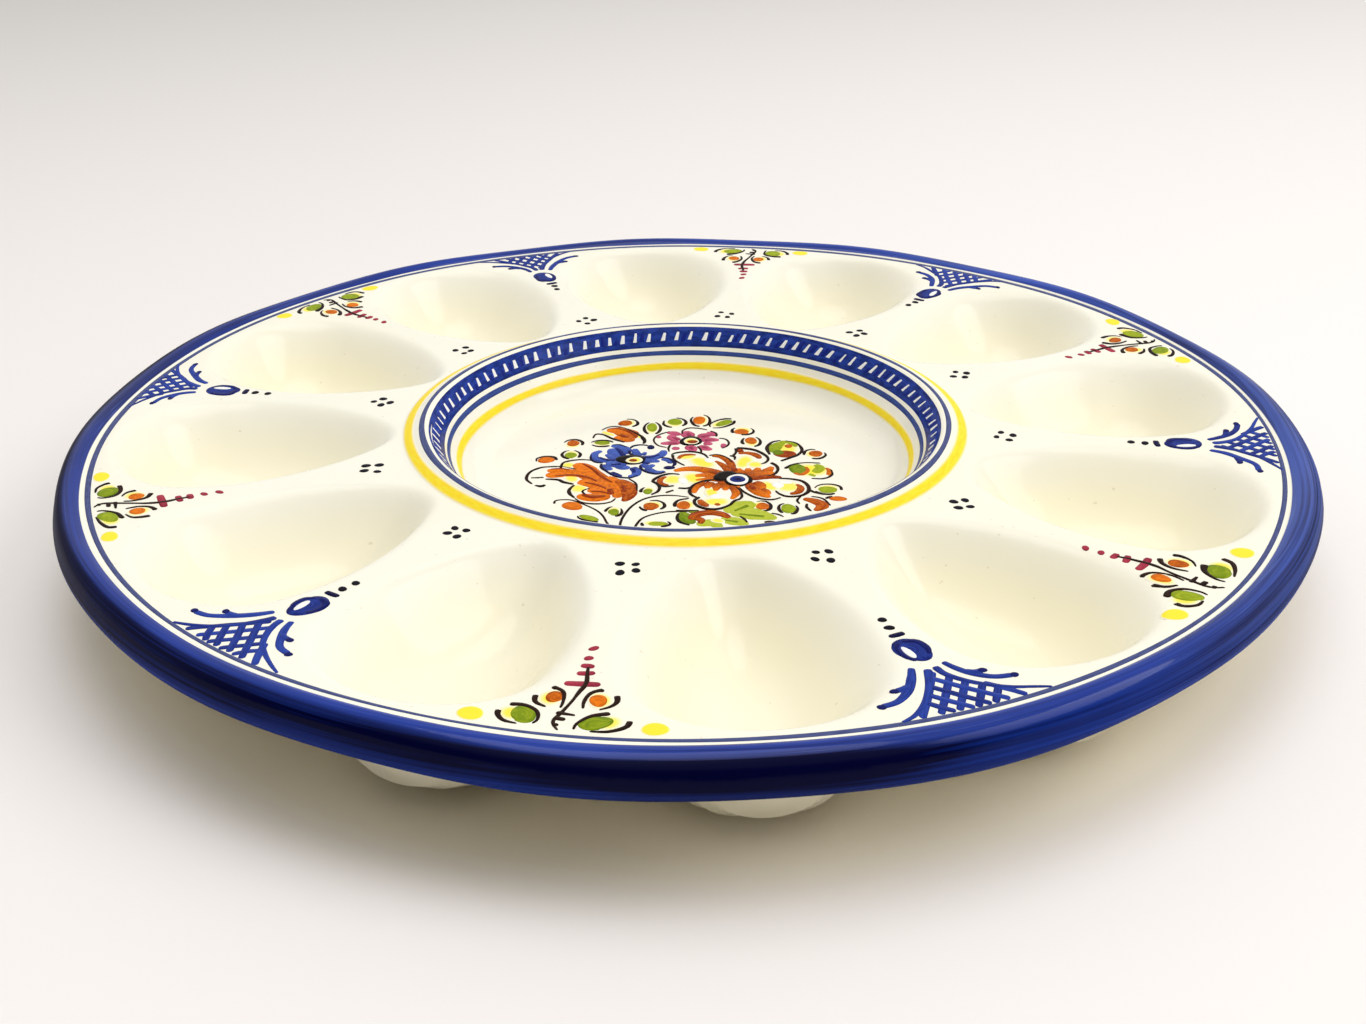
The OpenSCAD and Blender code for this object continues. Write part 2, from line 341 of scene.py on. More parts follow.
def bowl_height(radius):
    """Height of the top surface, the egg wells and the wave left out."""
    r = np.asarray(radius, float)
    raised = LIP_RAISE * np.clip((r - FLOOR_R) / (WALL_TOP_R - FLOOR_R), 0, 1)
    height = FACE + land_height(np.maximum(r, LIP_R))
    lip = (r < LIP_R) & (r >= WALL_TOP_R)
    height[lip] = FACE - LIP_ROUND + np.sqrt(
        LIP_ROUND ** 2 - (LIP_R - r[lip]) ** 2) + LIP_RAISE
    wall = (r < WALL_TOP_R) & (r >= WALL_END_R)
    height[wall] = WALL_TOP_Z - (WALL_TOP_R - r[wall]) * math.tan(SLOPE) + raised[wall]
    turn = (r < WALL_END_R) & (r >= FLOOR_R)
    height[turn] = FLOOR_TOP + FLOOR_ROUND - np.sqrt(
        FLOOR_ROUND ** 2 - (r[turn] - FLOOR_R) ** 2) + raised[turn]
    height[r < FLOOR_R] = FLOOR_TOP
    return height


def sinking(radius, angle, shape):
    """Depth of the wells below the land, whose lowest places stay where they are."""
    land = land_height(np.maximum(radius, LIP_R))
    return sunk(radius, angle, shape) * (1 + land / WELL_DEPTH)


def glaze_height(x, y):
    """Height of the glazed top surface over points of the plate's plan."""
    radius = np.hypot(x, y)
    angle = np.arctan2(y, x)
    return bowl_height(radius) + waved(radius, angle) - sinking(radius, angle, HOLLOW)


def glaze_points(plan, lift):
    """Points of the plan laid on the glaze and lifted off it along its normal."""
    x, y = plan[:, 0], plan[:, 1]
    step = 0.05
    height = glaze_height(x, y)
    slope_x = (glaze_height(x + step, y) - glaze_height(x - step, y)) / (2 * step)
    slope_y = (glaze_height(x, y + step) - glaze_height(x, y - step)) / (2 * step)
    normal = np.stack([-slope_x, -slope_y, np.ones_like(x)], 1)
    normal /= np.linalg.norm(normal, axis=1)[:, None]
    return np.stack([x, y, height], 1) + normal * lift[:, None]


# Pieces

def new_object(name, data):
    """Puts a mesh, lamp or camera into the scene."""
    made = bpy.data.objects.new(name, data)
    bpy.context.scene.collection.objects.link(made)
    return made


def finish_piece(piece, materials, nodes=()):
    """Gives a mesh its glazes, its body and the nodes that it stands for."""
    piece.data.materials.clear()
    for material in materials:
        piece.data.materials.append(material)
    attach(piece, "root")
    if nodes:
        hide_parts(*nodes)
    return piece


def spin_section(name, section, closed=False):
    """A section, given as radius and height, turned once round the plate's axis."""
    bpy.ops.object.select_all(action="DESELECT")
    mesh = bpy.data.meshes.new(name)
    edges = [(i, i + 1) for i in range(len(section) - 1)]
    if closed:
        edges.append((len(section) - 1, 0))
    mesh.from_pydata([(r * MM, 0, z * MM) for r, z in section], edges, [])
    piece = new_object(name, mesh)
    bpy.context.view_layer.objects.active = piece
    piece.select_set(True)
    turn = piece.modifiers.new("turn", "SCREW")
    turn.steps = turn.render_steps = ROUND_STEPS
    turn.use_merge_vertices = True
    turn.merge_threshold = MERGE
    bpy.ops.object.modifier_apply(modifier=turn.name)
    bpy.ops.object.mode_set(mode="EDIT")
    bpy.ops.mesh.select_all(action="SELECT")
    bpy.ops.mesh.remove_doubles(threshold=MERGE)
    bpy.ops.mesh.normals_make_consistent(inside=False)
    bpy.ops.object.mode_set(mode="OBJECT")
    bpy.ops.object.shade_smooth_by_angle(angle=SHARP_BEND)
    return piece


def move_points(piece, shift):
    """Moves a piece's points by a function of their places, in millimetres."""
    places = np.zeros(len(piece.data.vertices) * 3)
    piece.data.vertices.foreach_get("co", places)
    places = places.reshape(-1, 3) / MM
    piece.data.vertices.foreach_set("co", (shift(places) * MM).ravel())
    piece.data.update()


def arc(centre, radius, start, end, steps):
    """Points round a centre, both ends included."""
    angles = np.linspace(start, end, steps + 1)
    return [(centre[0] + radius * math.cos(a), centre[1] + radius * math.sin(a))
            for a in angles]


def straight(a, b, steps):
    """Points from a towards b, with b left out."""
    return [tuple(p) for p in np.linspace(a, b, steps + 1)[:-1]]


class PLATTER_OT_body(bpy.types.Operator):
    """Spin the cream body, from the bowl to the rim, and sink the egg wells in it"""

    bl_idname = "platter.body"
    bl_label = "Body with Egg Wells"

    def execute(self, context):
        # The edge that the rim hides, and the height at which the top surface waits for
        # sink() to lay it on the glaze
        hidden_edge = RIM_IN + 1.1
        waiting = FACE + 5
        land_start = LIP_R + 7
        turns = np.linspace(0, SLOPE, 9)
        radii = np.concatenate([
            np.linspace(0, FLOOR_R, 9, endpoint=False),
            (FLOOR_R + FLOOR_ROUND * np.sin(turns))[:-1],
            np.linspace(WALL_END_R, WALL_TOP_R, 9, endpoint=False),
            (LIP_R - LIP_ROUND * np.sin(turns[::-1]))[:-1],
            np.linspace(LIP_R, land_start, 14, endpoint=False),
            np.linspace(land_start, hidden_edge, 66)])
        section = [(r, waiting) for r in radii]

        under_round = FLOOR_ROUND + CLAY
        round_z = FLOOR_TOP + FLOOR_ROUND
        seat = (LIP_SEAT - FLOOR_R, FACE_UNDER - round_z)
        under_turn = math.atan2(seat[1], seat[0]) - math.acos(
            under_round / math.hypot(*seat))
        section += straight((hidden_edge, FACE_UNDER), (LIP_SEAT, FACE_UNDER), 32)
        section += straight((LIP_SEAT, FACE_UNDER), (
            FLOOR_R + under_round * math.cos(under_turn),
            round_z + under_round * math.sin(under_turn)), 3)
        section += arc((FLOOR_R, round_z), under_round, under_turn, -math.pi / 2, 6)
        section += [(0, FLOOR_UNDER)]
        body = spin_section("glazed_body", section)

        def sink(places):
            x, y, z = places.T
            radius, angle = np.hypot(x, y), np.arctan2(y, x)
            under = z + land_height(np.maximum(radius, LIP_SEAT)) + waved(
                radius, angle) - sinking(radius, angle, SWELLING)
            lower = np.where(radius > LIP_SEAT + 0.1, under, z)
            places[:, 2] = np.where(z > waiting - 1, glaze_height(x, y), lower)
            return places

        move_points(body, sink)
        finish_piece(
            body, [cream_glaze()],
            ["deck", "bowl_wall", "bowl_floor"]
            + [f"egg_well_{k:02d}" for k in range(1, WELLS + 1)])
        return {"FINISHED"}


class PLATTER_OT_rim(bpy.types.Operator):
    """Spin the rolled rim and let it wave and wander as the body does"""

    bl_idname = "platter.rim"
    bl_label = "Rolled Rim"

    def execute(self, context):
        lean = math.atan2(RIM_LEAN, RIM_TOP - RIM_UNDER - 2 * RIM_ROUND)
        lower_r = RIM_R - RIM_ROUND
        # Up through the clay, then a thin foot of glaze that laps over the face
        section = [(RIM_IN, FACE_UNDER), (RIM_IN, FACE - 0.4), (RIM_IN - 0.3, FACE - 0.1),
                   (RIM_IN - 0.25, FACE + 0.03)]
        section += arc((RIM_UPPER, RIM_TOP - RIM_ROUND), RIM_ROUND, RIM_START, lean, 18)
        section += arc((lower_r, RIM_UNDER + RIM_ROUND), RIM_ROUND, lean, -math.pi / 2, 14)
        section += [(lower_r - RIM_FLAT, RIM_UNDER)]
        rim = spin_section("rolled_rim", section, closed=True)

        def sway(places):
            radius = np.hypot(places[:, 0], places[:, 1])
            angle = np.arctan2(places[:, 1], places[:, 0])
            form = settings("form")
            wander = millimetres(form.wander) * swings(angle, WANDER_SWINGS)
            share = np.clip((radius - RIM_IN) / (RIM_R - RIM_IN), 0, 1)
            fat = millimetres(form.fatten)
            low = np.clip((RIM_TOP - places[:, 2]) / (RIM_TOP - RIM_UNDER), 0, 1)
            places[:, :2] *= (1 + share * (wander + fat) / radius)[:, None]
            roll = np.clip(share * 3, 0, 1) * past_well(angle)
            places[:, 2] += (waved(radius, angle) + 1.2 * fat * low
                             + millimetres(form.roll) * roll)
            return places

        move_points(rim, sway)
        finish_piece(rim, [rim_glaze()], ["rim"])
        return {"FINISHED"}


class PLATTER_OT_foot(bpy.types.Operator):
    """Spin the foot ring, glazed on its sides and bare where it stands"""

    bl_idname = "platter.foot"
    bl_label = "Foot Ring"

    def execute(self, context):
        width, face_width, edge = 7, 4, 0.7
        taper = (width - face_width) / 2
        inner = FOOT_R - width
        outer_foot = FOOT_R - taper
        inner_foot = inner + taper
        hidden = FLOOR_UNDER + 2.5
        section = [(FOOT_R, hidden), (FOOT_R, FLOOR_UNDER), (outer_foot, edge)]
        section += arc((outer_foot - edge, edge), edge, 0, -math.pi / 2, 5)[1:]
        section += arc((inner_foot + edge, edge), edge, -math.pi / 2, -math.pi, 5)
        section += [(inner, FLOOR_UNDER), (inner, FLOOR_UNDER + 1)]
        foot = spin_section("foot", section, closed=True)
        finish_piece(foot, [foot_glaze()], ["foot_ring"])
        return {"FINISHED"}


# Materials

class Shade:
    """A material or world that is being put together from nodes."""

    def __init__(self, owner):
        self.owner = owner
        owner.use_nodes = True
        self.tree = owner.node_tree
        self.tree.nodes.clear()

    def node(self, kind, inputs=None, **options):
        made = self.tree.nodes.new("ShaderNode" + kind)
        for key, value in options.items():
            setattr(made, key, value)
        for key, value in (inputs or {}).items():
            if isinstance(value, bpy.types.NodeSocket):
                self.tree.links.new(value, made.inputs[key])
            else:
                made.inputs[key].default_value = value
        return made

    def maths(self, operation, a, b=0.0, clamp=False):
        return self.node("Math", {0: a, 1: b}, operation=operation, use_clamp=clamp).outputs[0]

    def times(self, a, b):
        return self.maths("MULTIPLY", a, b)

    def plus(self, a, b, clamp=False):
        return self.maths("ADD", a, b, clamp)

    def minus(self, a, b):
        return self.maths("SUBTRACT", a, b)

    def spread(self, value, low, high, to_low=0.0, to_high=1.0):
        """Smooth step of a value between two limits."""
        return self.node("MapRange", {
            "Value": value, "From Min": low, "From Max": high, "To Min": to_low,
            "To Max": to_high}, interpolation_type="SMOOTHSTEP").outputs[0]

    def noise(self, vector, scale, detail=2.0, roughness=0.5):
        return self.node("TexNoise", {
            "Vector": vector, "Scale": scale, "Detail": detail,
            "Roughness": roughness}).outputs["Fac"]

    def mix(self, share, a, b):
        made = self.node("Mix", data_type="RGBA")
        for socket, value in zip((made.inputs[0], made.inputs[6], made.inputs[7]),
                                 (share, a, b)):
            if isinstance(value, bpy.types.NodeSocket):
                self.tree.links.new(value, socket)
            elif hasattr(value, "__len__"):
                socket.default_value = (*value, 1)
            else:
                socket.default_value = value
        return made.outputs[2]

    def vector(self, x, y, z=0.0):
        return self.node("CombineXYZ", {0: x, 1: y, 2: z}).outputs[0]

    def object_place(self):
        return self.node("TexCoord").outputs["Object"]

    def parts(self, place):
        """The three parts of a place, and its distance from the plate's axis."""
        x, y, z = self.node("SeparateXYZ", {0: place}).outputs
        plan = self.node("VectorMath", {0: self.vector(x, y)}, operation="LENGTH")
        return x, y, z, plan.outputs["Value"]

    def bump(self, height, distance):
        return self.node("Bump", {"Height": height, "Distance": distance}).outputs["Normal"]

    def finish(self, inputs):
        """Ends the material with a shader of these inputs."""
        shader = self.node("BsdfPrincipled", inputs)
        self.node("OutputMaterial", {"Surface": shader.outputs[0]})
        return self.owner

    def glossy(self, base, coat, coat_ior, coat_roughness=0.08, normal=None, specular=0.0):
        """Ends the material with the clear gloss that lies over all the painting."""
        inputs = {"Base Color": base, "Roughness": 0.45, "IOR": 1.45,
                  "Specular IOR Level": specular, "Coat Weight": coat,
                  "Coat Roughness": coat_roughness, "Coat IOR": coat_ior}
        if normal:
            inputs["Normal"] = normal
            inputs["Coat Normal"] = normal
        return self.finish(inputs)


def new_glaze(name):
    return Shade(bpy.data.materials.new(name))


def once(make):
    """Keeps the material that a function makes, so that pieces share it."""
    kept = {}

    def get(*names):
        if names not in kept:
            kept[names] = make(*names)
        return kept[names]

    return get


def ripple(shade, place):
    """The faint unevenness of a poured glaze."""
    slow = shade.noise(place, 28.0, 2.0)
    fine = shade.noise(place, 260.0, 1.0)
    return shade.plus(slow, shade.times(fine, 0.06))


@once
def cream_glaze():
    """Tin glaze, painted a deeper cream in the wells as glaze that has run thick and as
    painted shade, with clouds and a few fine specks.
    """
    glazes = settings("glazes")
    shade = new_glaze("cream_glaze")
    place = shade.object_place()
    _, _, height, radius = shade.parts(place)
    # The wells are painted a deeper, yellower cream: partly glaze that has run thick there,
    # partly painted shade
    pooled = shade.times(shade.spread(height, 28.5 * MM, 16.5 * MM),
                         shade.spread(radius, 74 * MM, 80 * MM))
    cloud = shade.spread(shade.noise(place, 14.0, 3.0), 0.35, 0.75, 0.0, 0.25)
    share = shade.plus(shade.times(pooled, 0.55), cloud, clamp=True)
    base = shade.mix(share, glazes.cream, glazes.cream_pooled_and_shaded)
    speck = shade.spread(shade.noise(place, 800.0, 0.0), 0.84, 0.88, 0.0, 0.25)
    base = shade.mix(speck, base, glazes.speck)
    normal = shade.bump(ripple(shade, place), 0.9 * MM)
    return shade.glossy(base, 0.8, 1.4, 0.12, normal, 0.06)


@once
def rim_glaze():
    """Cobalt brushed round the rim along the roll, with painted shade on its outer side and
    painted light at the right.
    """
    glazes = settings("glazes")
    shade = new_glaze("cobalt_rim_glaze")
    place = shade.object_place()
    x, y, height, radius = shade.parts(place)

    # Streaks, long round the plate and narrow across the roll, and broad patches
    across = shade.minus(radius, height)
    streaks = shade.vector(shade.times(x, 9.0), shade.times(y, 9.0),
                           shade.times(across, 900.0))
    brushed = shade.spread(shade.noise(streaks, 1.0, 4.0, 0.6), 0.36, 0.66)
    patches = shade.spread(shade.noise(place, 17.0, 2.0), 0.35, 0.7)

    # How far to the right of the middle a point lies, and a share for the far left
    right = shade.plus(shade.times(x, 5.0), shade.times(y, 1.9))
    left = shade.spread(right, -0.2, -0.6)

    # Painted shade on the roll's outer side, partly glaze that has pooled there: it reaches
    # further in at the left, is weaker at the far left and towards the right, and is lighter
    # lower down as a painted reflection of the floor
    outer = shade.spread(shade.plus(radius, shade.times(left, 1.4 * MM)),
                         159.2 * MM, 161.4 * MM)
    lower = shade.spread(height, 27.2 * MM, 24.8 * MM, 0.0, 0.6)
    thin = shade.minus(shade.spread(right, -0.04, 0.17, 1.0, 0.25), shade.times(left, 0.25))
    pooled = shade.times(thin, shade.times(outer, shade.minus(0.9, lower)))
    # Painted shade: the rim is painted darker towards the plate's left and right sides
    aside = shade.spread(shade.maths("ABSOLUTE", x), 90 * MM, 150 * MM, 0.0, 0.26)
    streaked_and_side_shade = shade.plus(aside, shade.plus(shade.times(brushed, 0.34),
                                          shade.times(patches, 0.24)))
    thick = shade.plus(streaked_and_side_shade, pooled, clamp=True)
    base = shade.mix(thick, glazes.cobalt, glazes.cobalt_deep)

    # Thin places where the brush ran dry, and a painted highlight that pales the blue all over
    # at the right
    dry = shade.spread(shade.noise(streaks, 2.3, 3.0, 0.7), 0.55, 0.78, 0.0, 0.6)
    dry = shade.times(dry, shade.minus(1.0, outer))
    base = shade.mix(dry, base, glazes.cobalt_thin)
    pale = shade.times(shade.spread(right, 0.2, 0.8, 0.0, 0.45), shade.minus(1.0, brushed))
    base = shade.mix(pale, base, glazes.cobalt_thin)

    # The cobalt ends on the roll's inner slope, further out at the front
    inner_edge = shade.spread(y, -50 * MM, -140 * MM, (RIM_IN - 0.05) * MM,
                              (RIM_IN + 0.85) * MM)
    edge = shade.plus(inner_edge, shade.times(shade.noise(place, 28.0, 2.0), 0.5 * MM))
    painted = shade.spread(shade.minus(radius, edge), 0.0, 0.2 * MM)
    base = shade.mix(painted, glazes.cream, base)
    normal = shade.bump(ripple(shade, place), 0.6 * MM)
    coat = shade.minus(0.6, shade.times(outer, 0.45))
    return shade.glossy(base, coat, 1.45, 0.09, normal)


@once
def foot_glaze():
    """Cream glaze down the sides of the foot ring, and bare clay where it stands."""
    glazes = settings("glazes")
    shade = new_glaze("foot_ring_glaze")
    place = shade.object_place()
    height = shade.node("SeparateXYZ", {0: place}).outputs[2]
    edge = shade.plus(height, shade.times(shade.noise(place, 120.0, 2.0), 1.2 * MM))
    glazed = shade.spread(edge, 1.3 * MM, 1.7 * MM)
    grain = shade.spread(shade.noise(place, 900.0, 3.0), 0.3, 0.7)
    clay = shade.mix(grain, glazes.clay, glazes.clay_grain)
    return shade.finish({
        "Base Color": shade.mix(glazed, clay, glazes.cream),
        "Roughness": shade.minus(0.85, shade.times(glazed, 0.68)),
        "Normal": shade.bump(grain, 0.1 * MM)})


# How each enamel is laid: its thin and thick colours, and how far its edges fade
ENAMELS = {
    "line": ("line", "line_deep", 0.0),
    "brush_blue": ("brush_blue", "brush_deep", 0.0),
    "band_blue": ("brush_blue", "cobalt_deep", 0.0),
    "navy": ("brush_deep", "ink_deep", 0.0),
    "slate": ("slate", "line_deep", 0.0),
    "petal_blue": ("cobalt_thin", "brush_deep", 0.0),
    "indigo": ("indigo", "brush_deep", 0.0),
    "lime": ("lime", "green", 0.0),
    "lemon": ("yellow", "yellow", 0.2),
    "yellow": ("yellow", "yellow_deep", 0.55),
    "petal_yellow": ("petal", "yellow", 0.6),
    "green": ("green", "green_deep", 0.0),
    "orange": ("orange", "orange_deep", 0.0),
    "crimson": ("crimson", "crimson_deep", 0.0),
    "rose": ("rose", "rose_deep", 0.0),
    "ink": ("ink", "ink_deep", 0.0),
    "white": ("white", "white", 0.0),
}


@once
def enamel(name):
    """Brushed enamel, thicker along the edges of a stroke and streaky along it."""
    glazes = settings("glazes")
    thin, thick, fade = ENAMELS[name]
    shade = new_glaze(name + "_enamel")
    brush = shade.node("UVMap", uv_map="Brush").outputs[0]
    along, across, _ = shade.node("SeparateXYZ", {0: brush}).outputs
    load = shade.node("Attribute", attribute_name="load").outputs["Fac"]
    edge = shade.maths("ABSOLUTE", shade.minus(shade.times(across, 2.0), 1.0))
    streaks = shade.vector(shade.times(along, 30.0), shade.times(across, 5.0),
                           shade.times(load, 40.0))
    brushed = shade.spread(shade.noise(streaks, 1.0, 2.0), 0.35, 0.65)
    pooled = shade.maths("POWER", edge, 4.0)
    share = shade.plus(shade.times(brushed, 0.4), shade.plus(
        shade.times(pooled, 0.3), shade.minus(load, 0.2)), clamp=True)
    base = shade.mix(share, getattr(glazes, thin), getattr(glazes, thick))
    if fade:
        faded = shade.spread(edge, 1 - fade, 1.0, 0.0, 0.95)
        base = shade.mix(faded, base, glazes.cream)
    return shade.glossy(base, 0.4, 1.25)


# Brushwork

# Marks that reach this radius stay at the rim line when the rest of their group is moved,
# and those nearer to the bowl move the more, up to this distance from it
RIM_LINE_R = 156
MOVE_FADE = 16


def smooth_path(points, spacing=0.6, least=9):
    """Smooth line through points, sampled closely at its ends, and the run to each sample."""
    p = np.asarray(points, float)
    if len(p) == 2:
        p = np.array([p[0], (p[0] + p[1]) / 2, p[1]])
    longer = np.vstack([2 * p[0] - p[1], p, 2 * p[-1] - p[-2]])
    t = np.linspace(0, 1, 16, endpoint=False)[:, None]
    dense = []
    for i in range(1, len(longer) - 2):
        a, b, c, d = longer[i - 1:i + 3]
        dense.append(0.5 * (2 * b + (c - a) * t + (2 * a - 5 * b + 4 * c - d) * t ** 2
                            + (3 * b - a - 3 * c + d) * t ** 3))
    dense = np.vstack(dense + [longer[-2:-1]])
    run = np.concatenate([[0], np.cumsum(np.linalg.norm(np.diff(dense, axis=0), axis=1))])
    even = np.linspace(0, 1, max(least, int(run[-1] / spacing) + 1))
    eased = (1 - np.cos(even * math.pi)) / 2
    places = (even + eased) / 2 * run[-1]
    return np.stack([np.interp(places, run, dense[:, k]) for k in range(2)], 1), places


def turned(points, degrees, centre=(0, 0)):
    """Points turned by degrees and moved to a centre."""
    c, s = math.cos(math.radians(degrees)), math.sin(math.radians(degrees))
    return np.asarray(points, float) @ np.array([[c, s], [-s, c]]) + np.asarray(centre)


def in_front(plan):
    """Turns marks that are drawn as the camera sees them."""
    return turned(plan, FRONT_TURN)


def on_rim(turn, shift=0.0, out=0.0):
    """Places marks, drawn with x along the rim and y as radius, about an angle.

    Shift moves them along the rim, and out moves all but those at the rim line outwards.
    """

    def place(plan):
        radius = plan[:, 1] + out * np.clip((RIM_LINE_R - plan[:, 1]) / MOVE_FADE, 0, 1)
        angle = turn + (plan[:, 0] + shift) / radius
        return np.stack([radius * np.cos(angle), radius * np.sin(angle)], 1)

    return place


def grid_faces(rows, columns, closed=False):
    """Faces between the points of a grid, whose last row may join the first."""
    faces = []
    for i in range(rows if closed else rows - 1):
        this, following = i * columns, (i + 1) % rows * columns
        faces += [(this + j, following + j, following + j + 1, this + j + 1)
                  for j in range(columns - 1)]
    return faces


def faces_up(plan, faces):
    """Whether the faces of a mark look up. Placing a mark along the rim turns them over."""
    a, b, c = (plan[[face[k] for face in faces]] for k in range(3))
    (x, y), (next_x, next_y) = (b - a).T, (c - a).T
    return (x * next_y - y * next_x).sum() > 0


class Brushwork:
    """Marks of enamel that are laid on the glaze as one piece, each over those before it.

    Place puts drawn marks on the plate's plan, and shake is how far a hand misses.
    """

    # How far the edge of a mark sinks into the glaze, in shares of the relief, and how
    # much higher each mark lies than the one before it
    SINK = -0.4
    OVERLAY = 0.03

    # Places across a stroke and how high it stands there, and the same across a tick
    ACROSS = np.array([0.0, 0.08, 0.5, 0.92, 1.0])
    BULGE = np.array([SINK, 0.99, 1.0, 0.99, SINK])
    TICK_ACROSS = np.array([-0.5, -0.42, 0.42, 0.5])
    TICK_BULGE = np.array([SINK, 1.0, 1.0, SINK])

    # How thickly the enamel lies on rings and ticks
    EVEN_LOAD = 0.3

    def __init__(self, name, place=lambda plan: plan, shake=0.0, seed=0):
        self.name, self.place, self.shake = name, place, shake
        self.chance = np.random.default_rng(seed)
        self.plan, self.lift, self.brush, self.load = [], [], [], []
        self.faces, self.shades, self.enamels = [], [], []
        self.count = 0
        self.marks = 0

    def loads(self, load, shares):
        """How thickly the enamel lies at shares of a mark.

        Load is one amount, or a start and an end. Where it is none, chance gives one.
        """
        if load is None:
            load = self.chance.uniform(0.1, 0.6)
        return np.interp(shares, (0, 1), (load if hasattr(load, "__len__") else (load, load)))

    def add(self, plan, lift, brush, faces, shade, load):
        """Takes the points of one mark and the share of the relief that lifts each."""
        if shade not in self.enamels:
            self.enamels.append(shade)
        relief = millimetres(settings("painting").relief)
        raised = np.where(lift < 0, lift, lift + self.marks * self.OVERLAY)
        plan = self.place(plan)
        order = 1 if faces_up(plan, faces) else -1
        self.plan.append(plan)
        self.lift.append(raised * relief)
        self.brush.append(brush)
        self.load.append(np.zeros(len(plan)) + load)
        self.faces += [tuple(v + self.count for v in face[::order]) for face in faces]
        self.shades += [self.enamels.index(shade)] * len(faces)
        self.count += len(plan)
        self.marks += 1

    def stroke(self, shade, points, widths, load=None):
        """A brush stroke with round ends along a smooth line."""
        points = np.asarray(points, float)
        line, run = smooth_path(points + self.chance.normal(0, 1, points.shape) * self.shake)
        width = np.interp(run / run[-1], np.linspace(0, 1, len(widths)), widths)
        reach = np.minimum(run, run[-1] - run) / (width / 2)
        width = width * np.sqrt(np.clip(1 - (1 - np.clip(reach, 0, 1)) ** 2, 0.004, 1))
        along = np.gradient(line, axis=0)
        along /= np.maximum(np.linalg.norm(along, axis=1), 1e-9)[:, None]
        side = np.stack([-along[:, 1], along[:, 0]], 1)
        columns, rows = len(self.ACROSS), len(line)
        plan = (line[:, None] + side[:, None] * (
            (self.ACROSS - 0.5)[None, :, None] * width[:, None, None])).reshape(-1, 2)
        lift = np.tile(self.BULGE, (rows, 1))
        lift[[0, -1]] = self.SINK
        brush = np.stack([np.repeat(run, columns) / 100, np.tile(self.ACROSS, rows)], 1)
        loads = np.repeat(self.loads(load, run / run[-1]), columns)
        self.add(plan, lift.ravel(), brush, grid_faces(rows, columns), shade, loads)

    def strokes(self, shade, lines, load=None):
        """Strokes of one enamel, each given by its points and its widths."""
        for points, widths in lines:
            self.stroke(shade, points, widths, load)

    def dab(self, shade, centre, half, degrees=0.0, load=None, steps=20):
        """A dab of enamel, nearly an ellipse, thick in the middle and thin at its edge."""
        t = np.linspace(0, 2 * math.pi, steps, endpoint=False)
        wobble = 1 + 0.04 * np.sin(2 * t + self.chance.uniform(0, 6)) + 0.03 * np.sin(
            3 * t + self.chance.uniform(0, 6))
        outline = np.stack([half[0] * np.cos(t), half[1] * np.sin(t)], 1) * wobble[:, None]
        shares = (0.6, 0.93, 1.0)
        flat = np.vstack([[(0, 0)]] + [outline * share for share in shares])
        centre = np.asarray(centre, float) + self.chance.normal(0, 1, 2) * self.shake
        lift = np.concatenate([[1.0], np.repeat([1.0, 0.99, self.SINK], steps)])
        brush = np.vstack([[(0, 0.5)]] + [
            np.stack([t / 30, np.full(steps, 0.5 + 0.5 * share)], 1) for share in shares])
        faces = [(0, 1 + i, 1 + (i + 1) % steps) for i in range(steps)]
        for a in (1, 1 + steps):
            b = a + steps
            faces += [(a + i, b + i, b + (i + 1) % steps, a + (i + 1) % steps)
                      for i in range(steps)]
        loads = self.loads(load, 0.5)
        self.add(turned(flat, degrees, centre), lift, brush, faces, shade, loads)

    def ring(self, shade, radius, width, wander=0.0, swell=0.0, pull=(0, 0, 0)):
        """A line drawn right round the plate, whose width and course vary a little.

        Pull is what its radius and its width gain at the front and lose at the back,
        and what its radius gains at both sides.
        """
        angle = np.arange(ROUND_STEPS) * 2 * math.pi / ROUND_STEPS

        def drift(size, orders):
            return size * sum(
                math.sqrt(3 / n) * np.sin(n * angle + self.chance.uniform(0, 6))
                for n in orders)

        front = -np.sin(angle - math.radians(FRONT_TURN))
        middle = (radius + drift(wander, (2, 3, 5, 8)) + pull[0] * front
                  + pull[2] * (1 - front ** 2))
        wide = width * (1 + drift(swell, (3, 4, 7, 11, 17))) + pull[1] * front
        columns = len(self.ACROSS)
        radii = middle[:, None] + (0.5 - self.ACROSS)[None, :] * wide[:, None]
        plan = np.stack([radii * np.cos(angle)[:, None], radii * np.sin(angle)[:, None]], 2)
        brush = np.stack([np.repeat(angle * radius, columns) / 100,
                          np.tile(self.ACROSS, ROUND_STEPS)], 1)
        self.add(plan.reshape(-1, 2), np.tile(self.BULGE, ROUND_STEPS), brush,
                 grid_faces(ROUND_STEPS, columns, closed=True), shade, self.EVEN_LOAD)

    def tick(self, shade, low, high, low_width, high_width):
        """A short mark of a dozen faces whose two ends differ in width."""
        ends = (0.85, 1, 1, 1, 0.7)
        rows, columns = len(ends), len(self.TICK_ACROSS)
        shares = np.linspace(0, 1, rows)
        line = np.outer(1 - shares, low) + np.outer(shares, high)
        width = np.interp(shares, (0, 1), (low_width, high_width)) * ends
        plan = np.stack([line[:, :1] + self.TICK_ACROSS * width[:, None],
                         np.repeat(line[:, 1:], columns, 1)], 2).reshape(-1, 2)
        lift = np.tile(self.TICK_BULGE, (rows, 1))
        lift[[0, -1]] = self.SINK
        brush = np.stack([np.repeat(shares, columns) / 50,
                          np.tile(self.TICK_ACROSS + 0.5, rows)], 1)
        self.add(plan, lift.ravel(), brush, grid_faces(rows, columns), shade,
                 self.EVEN_LOAD)
        self.marks = 1

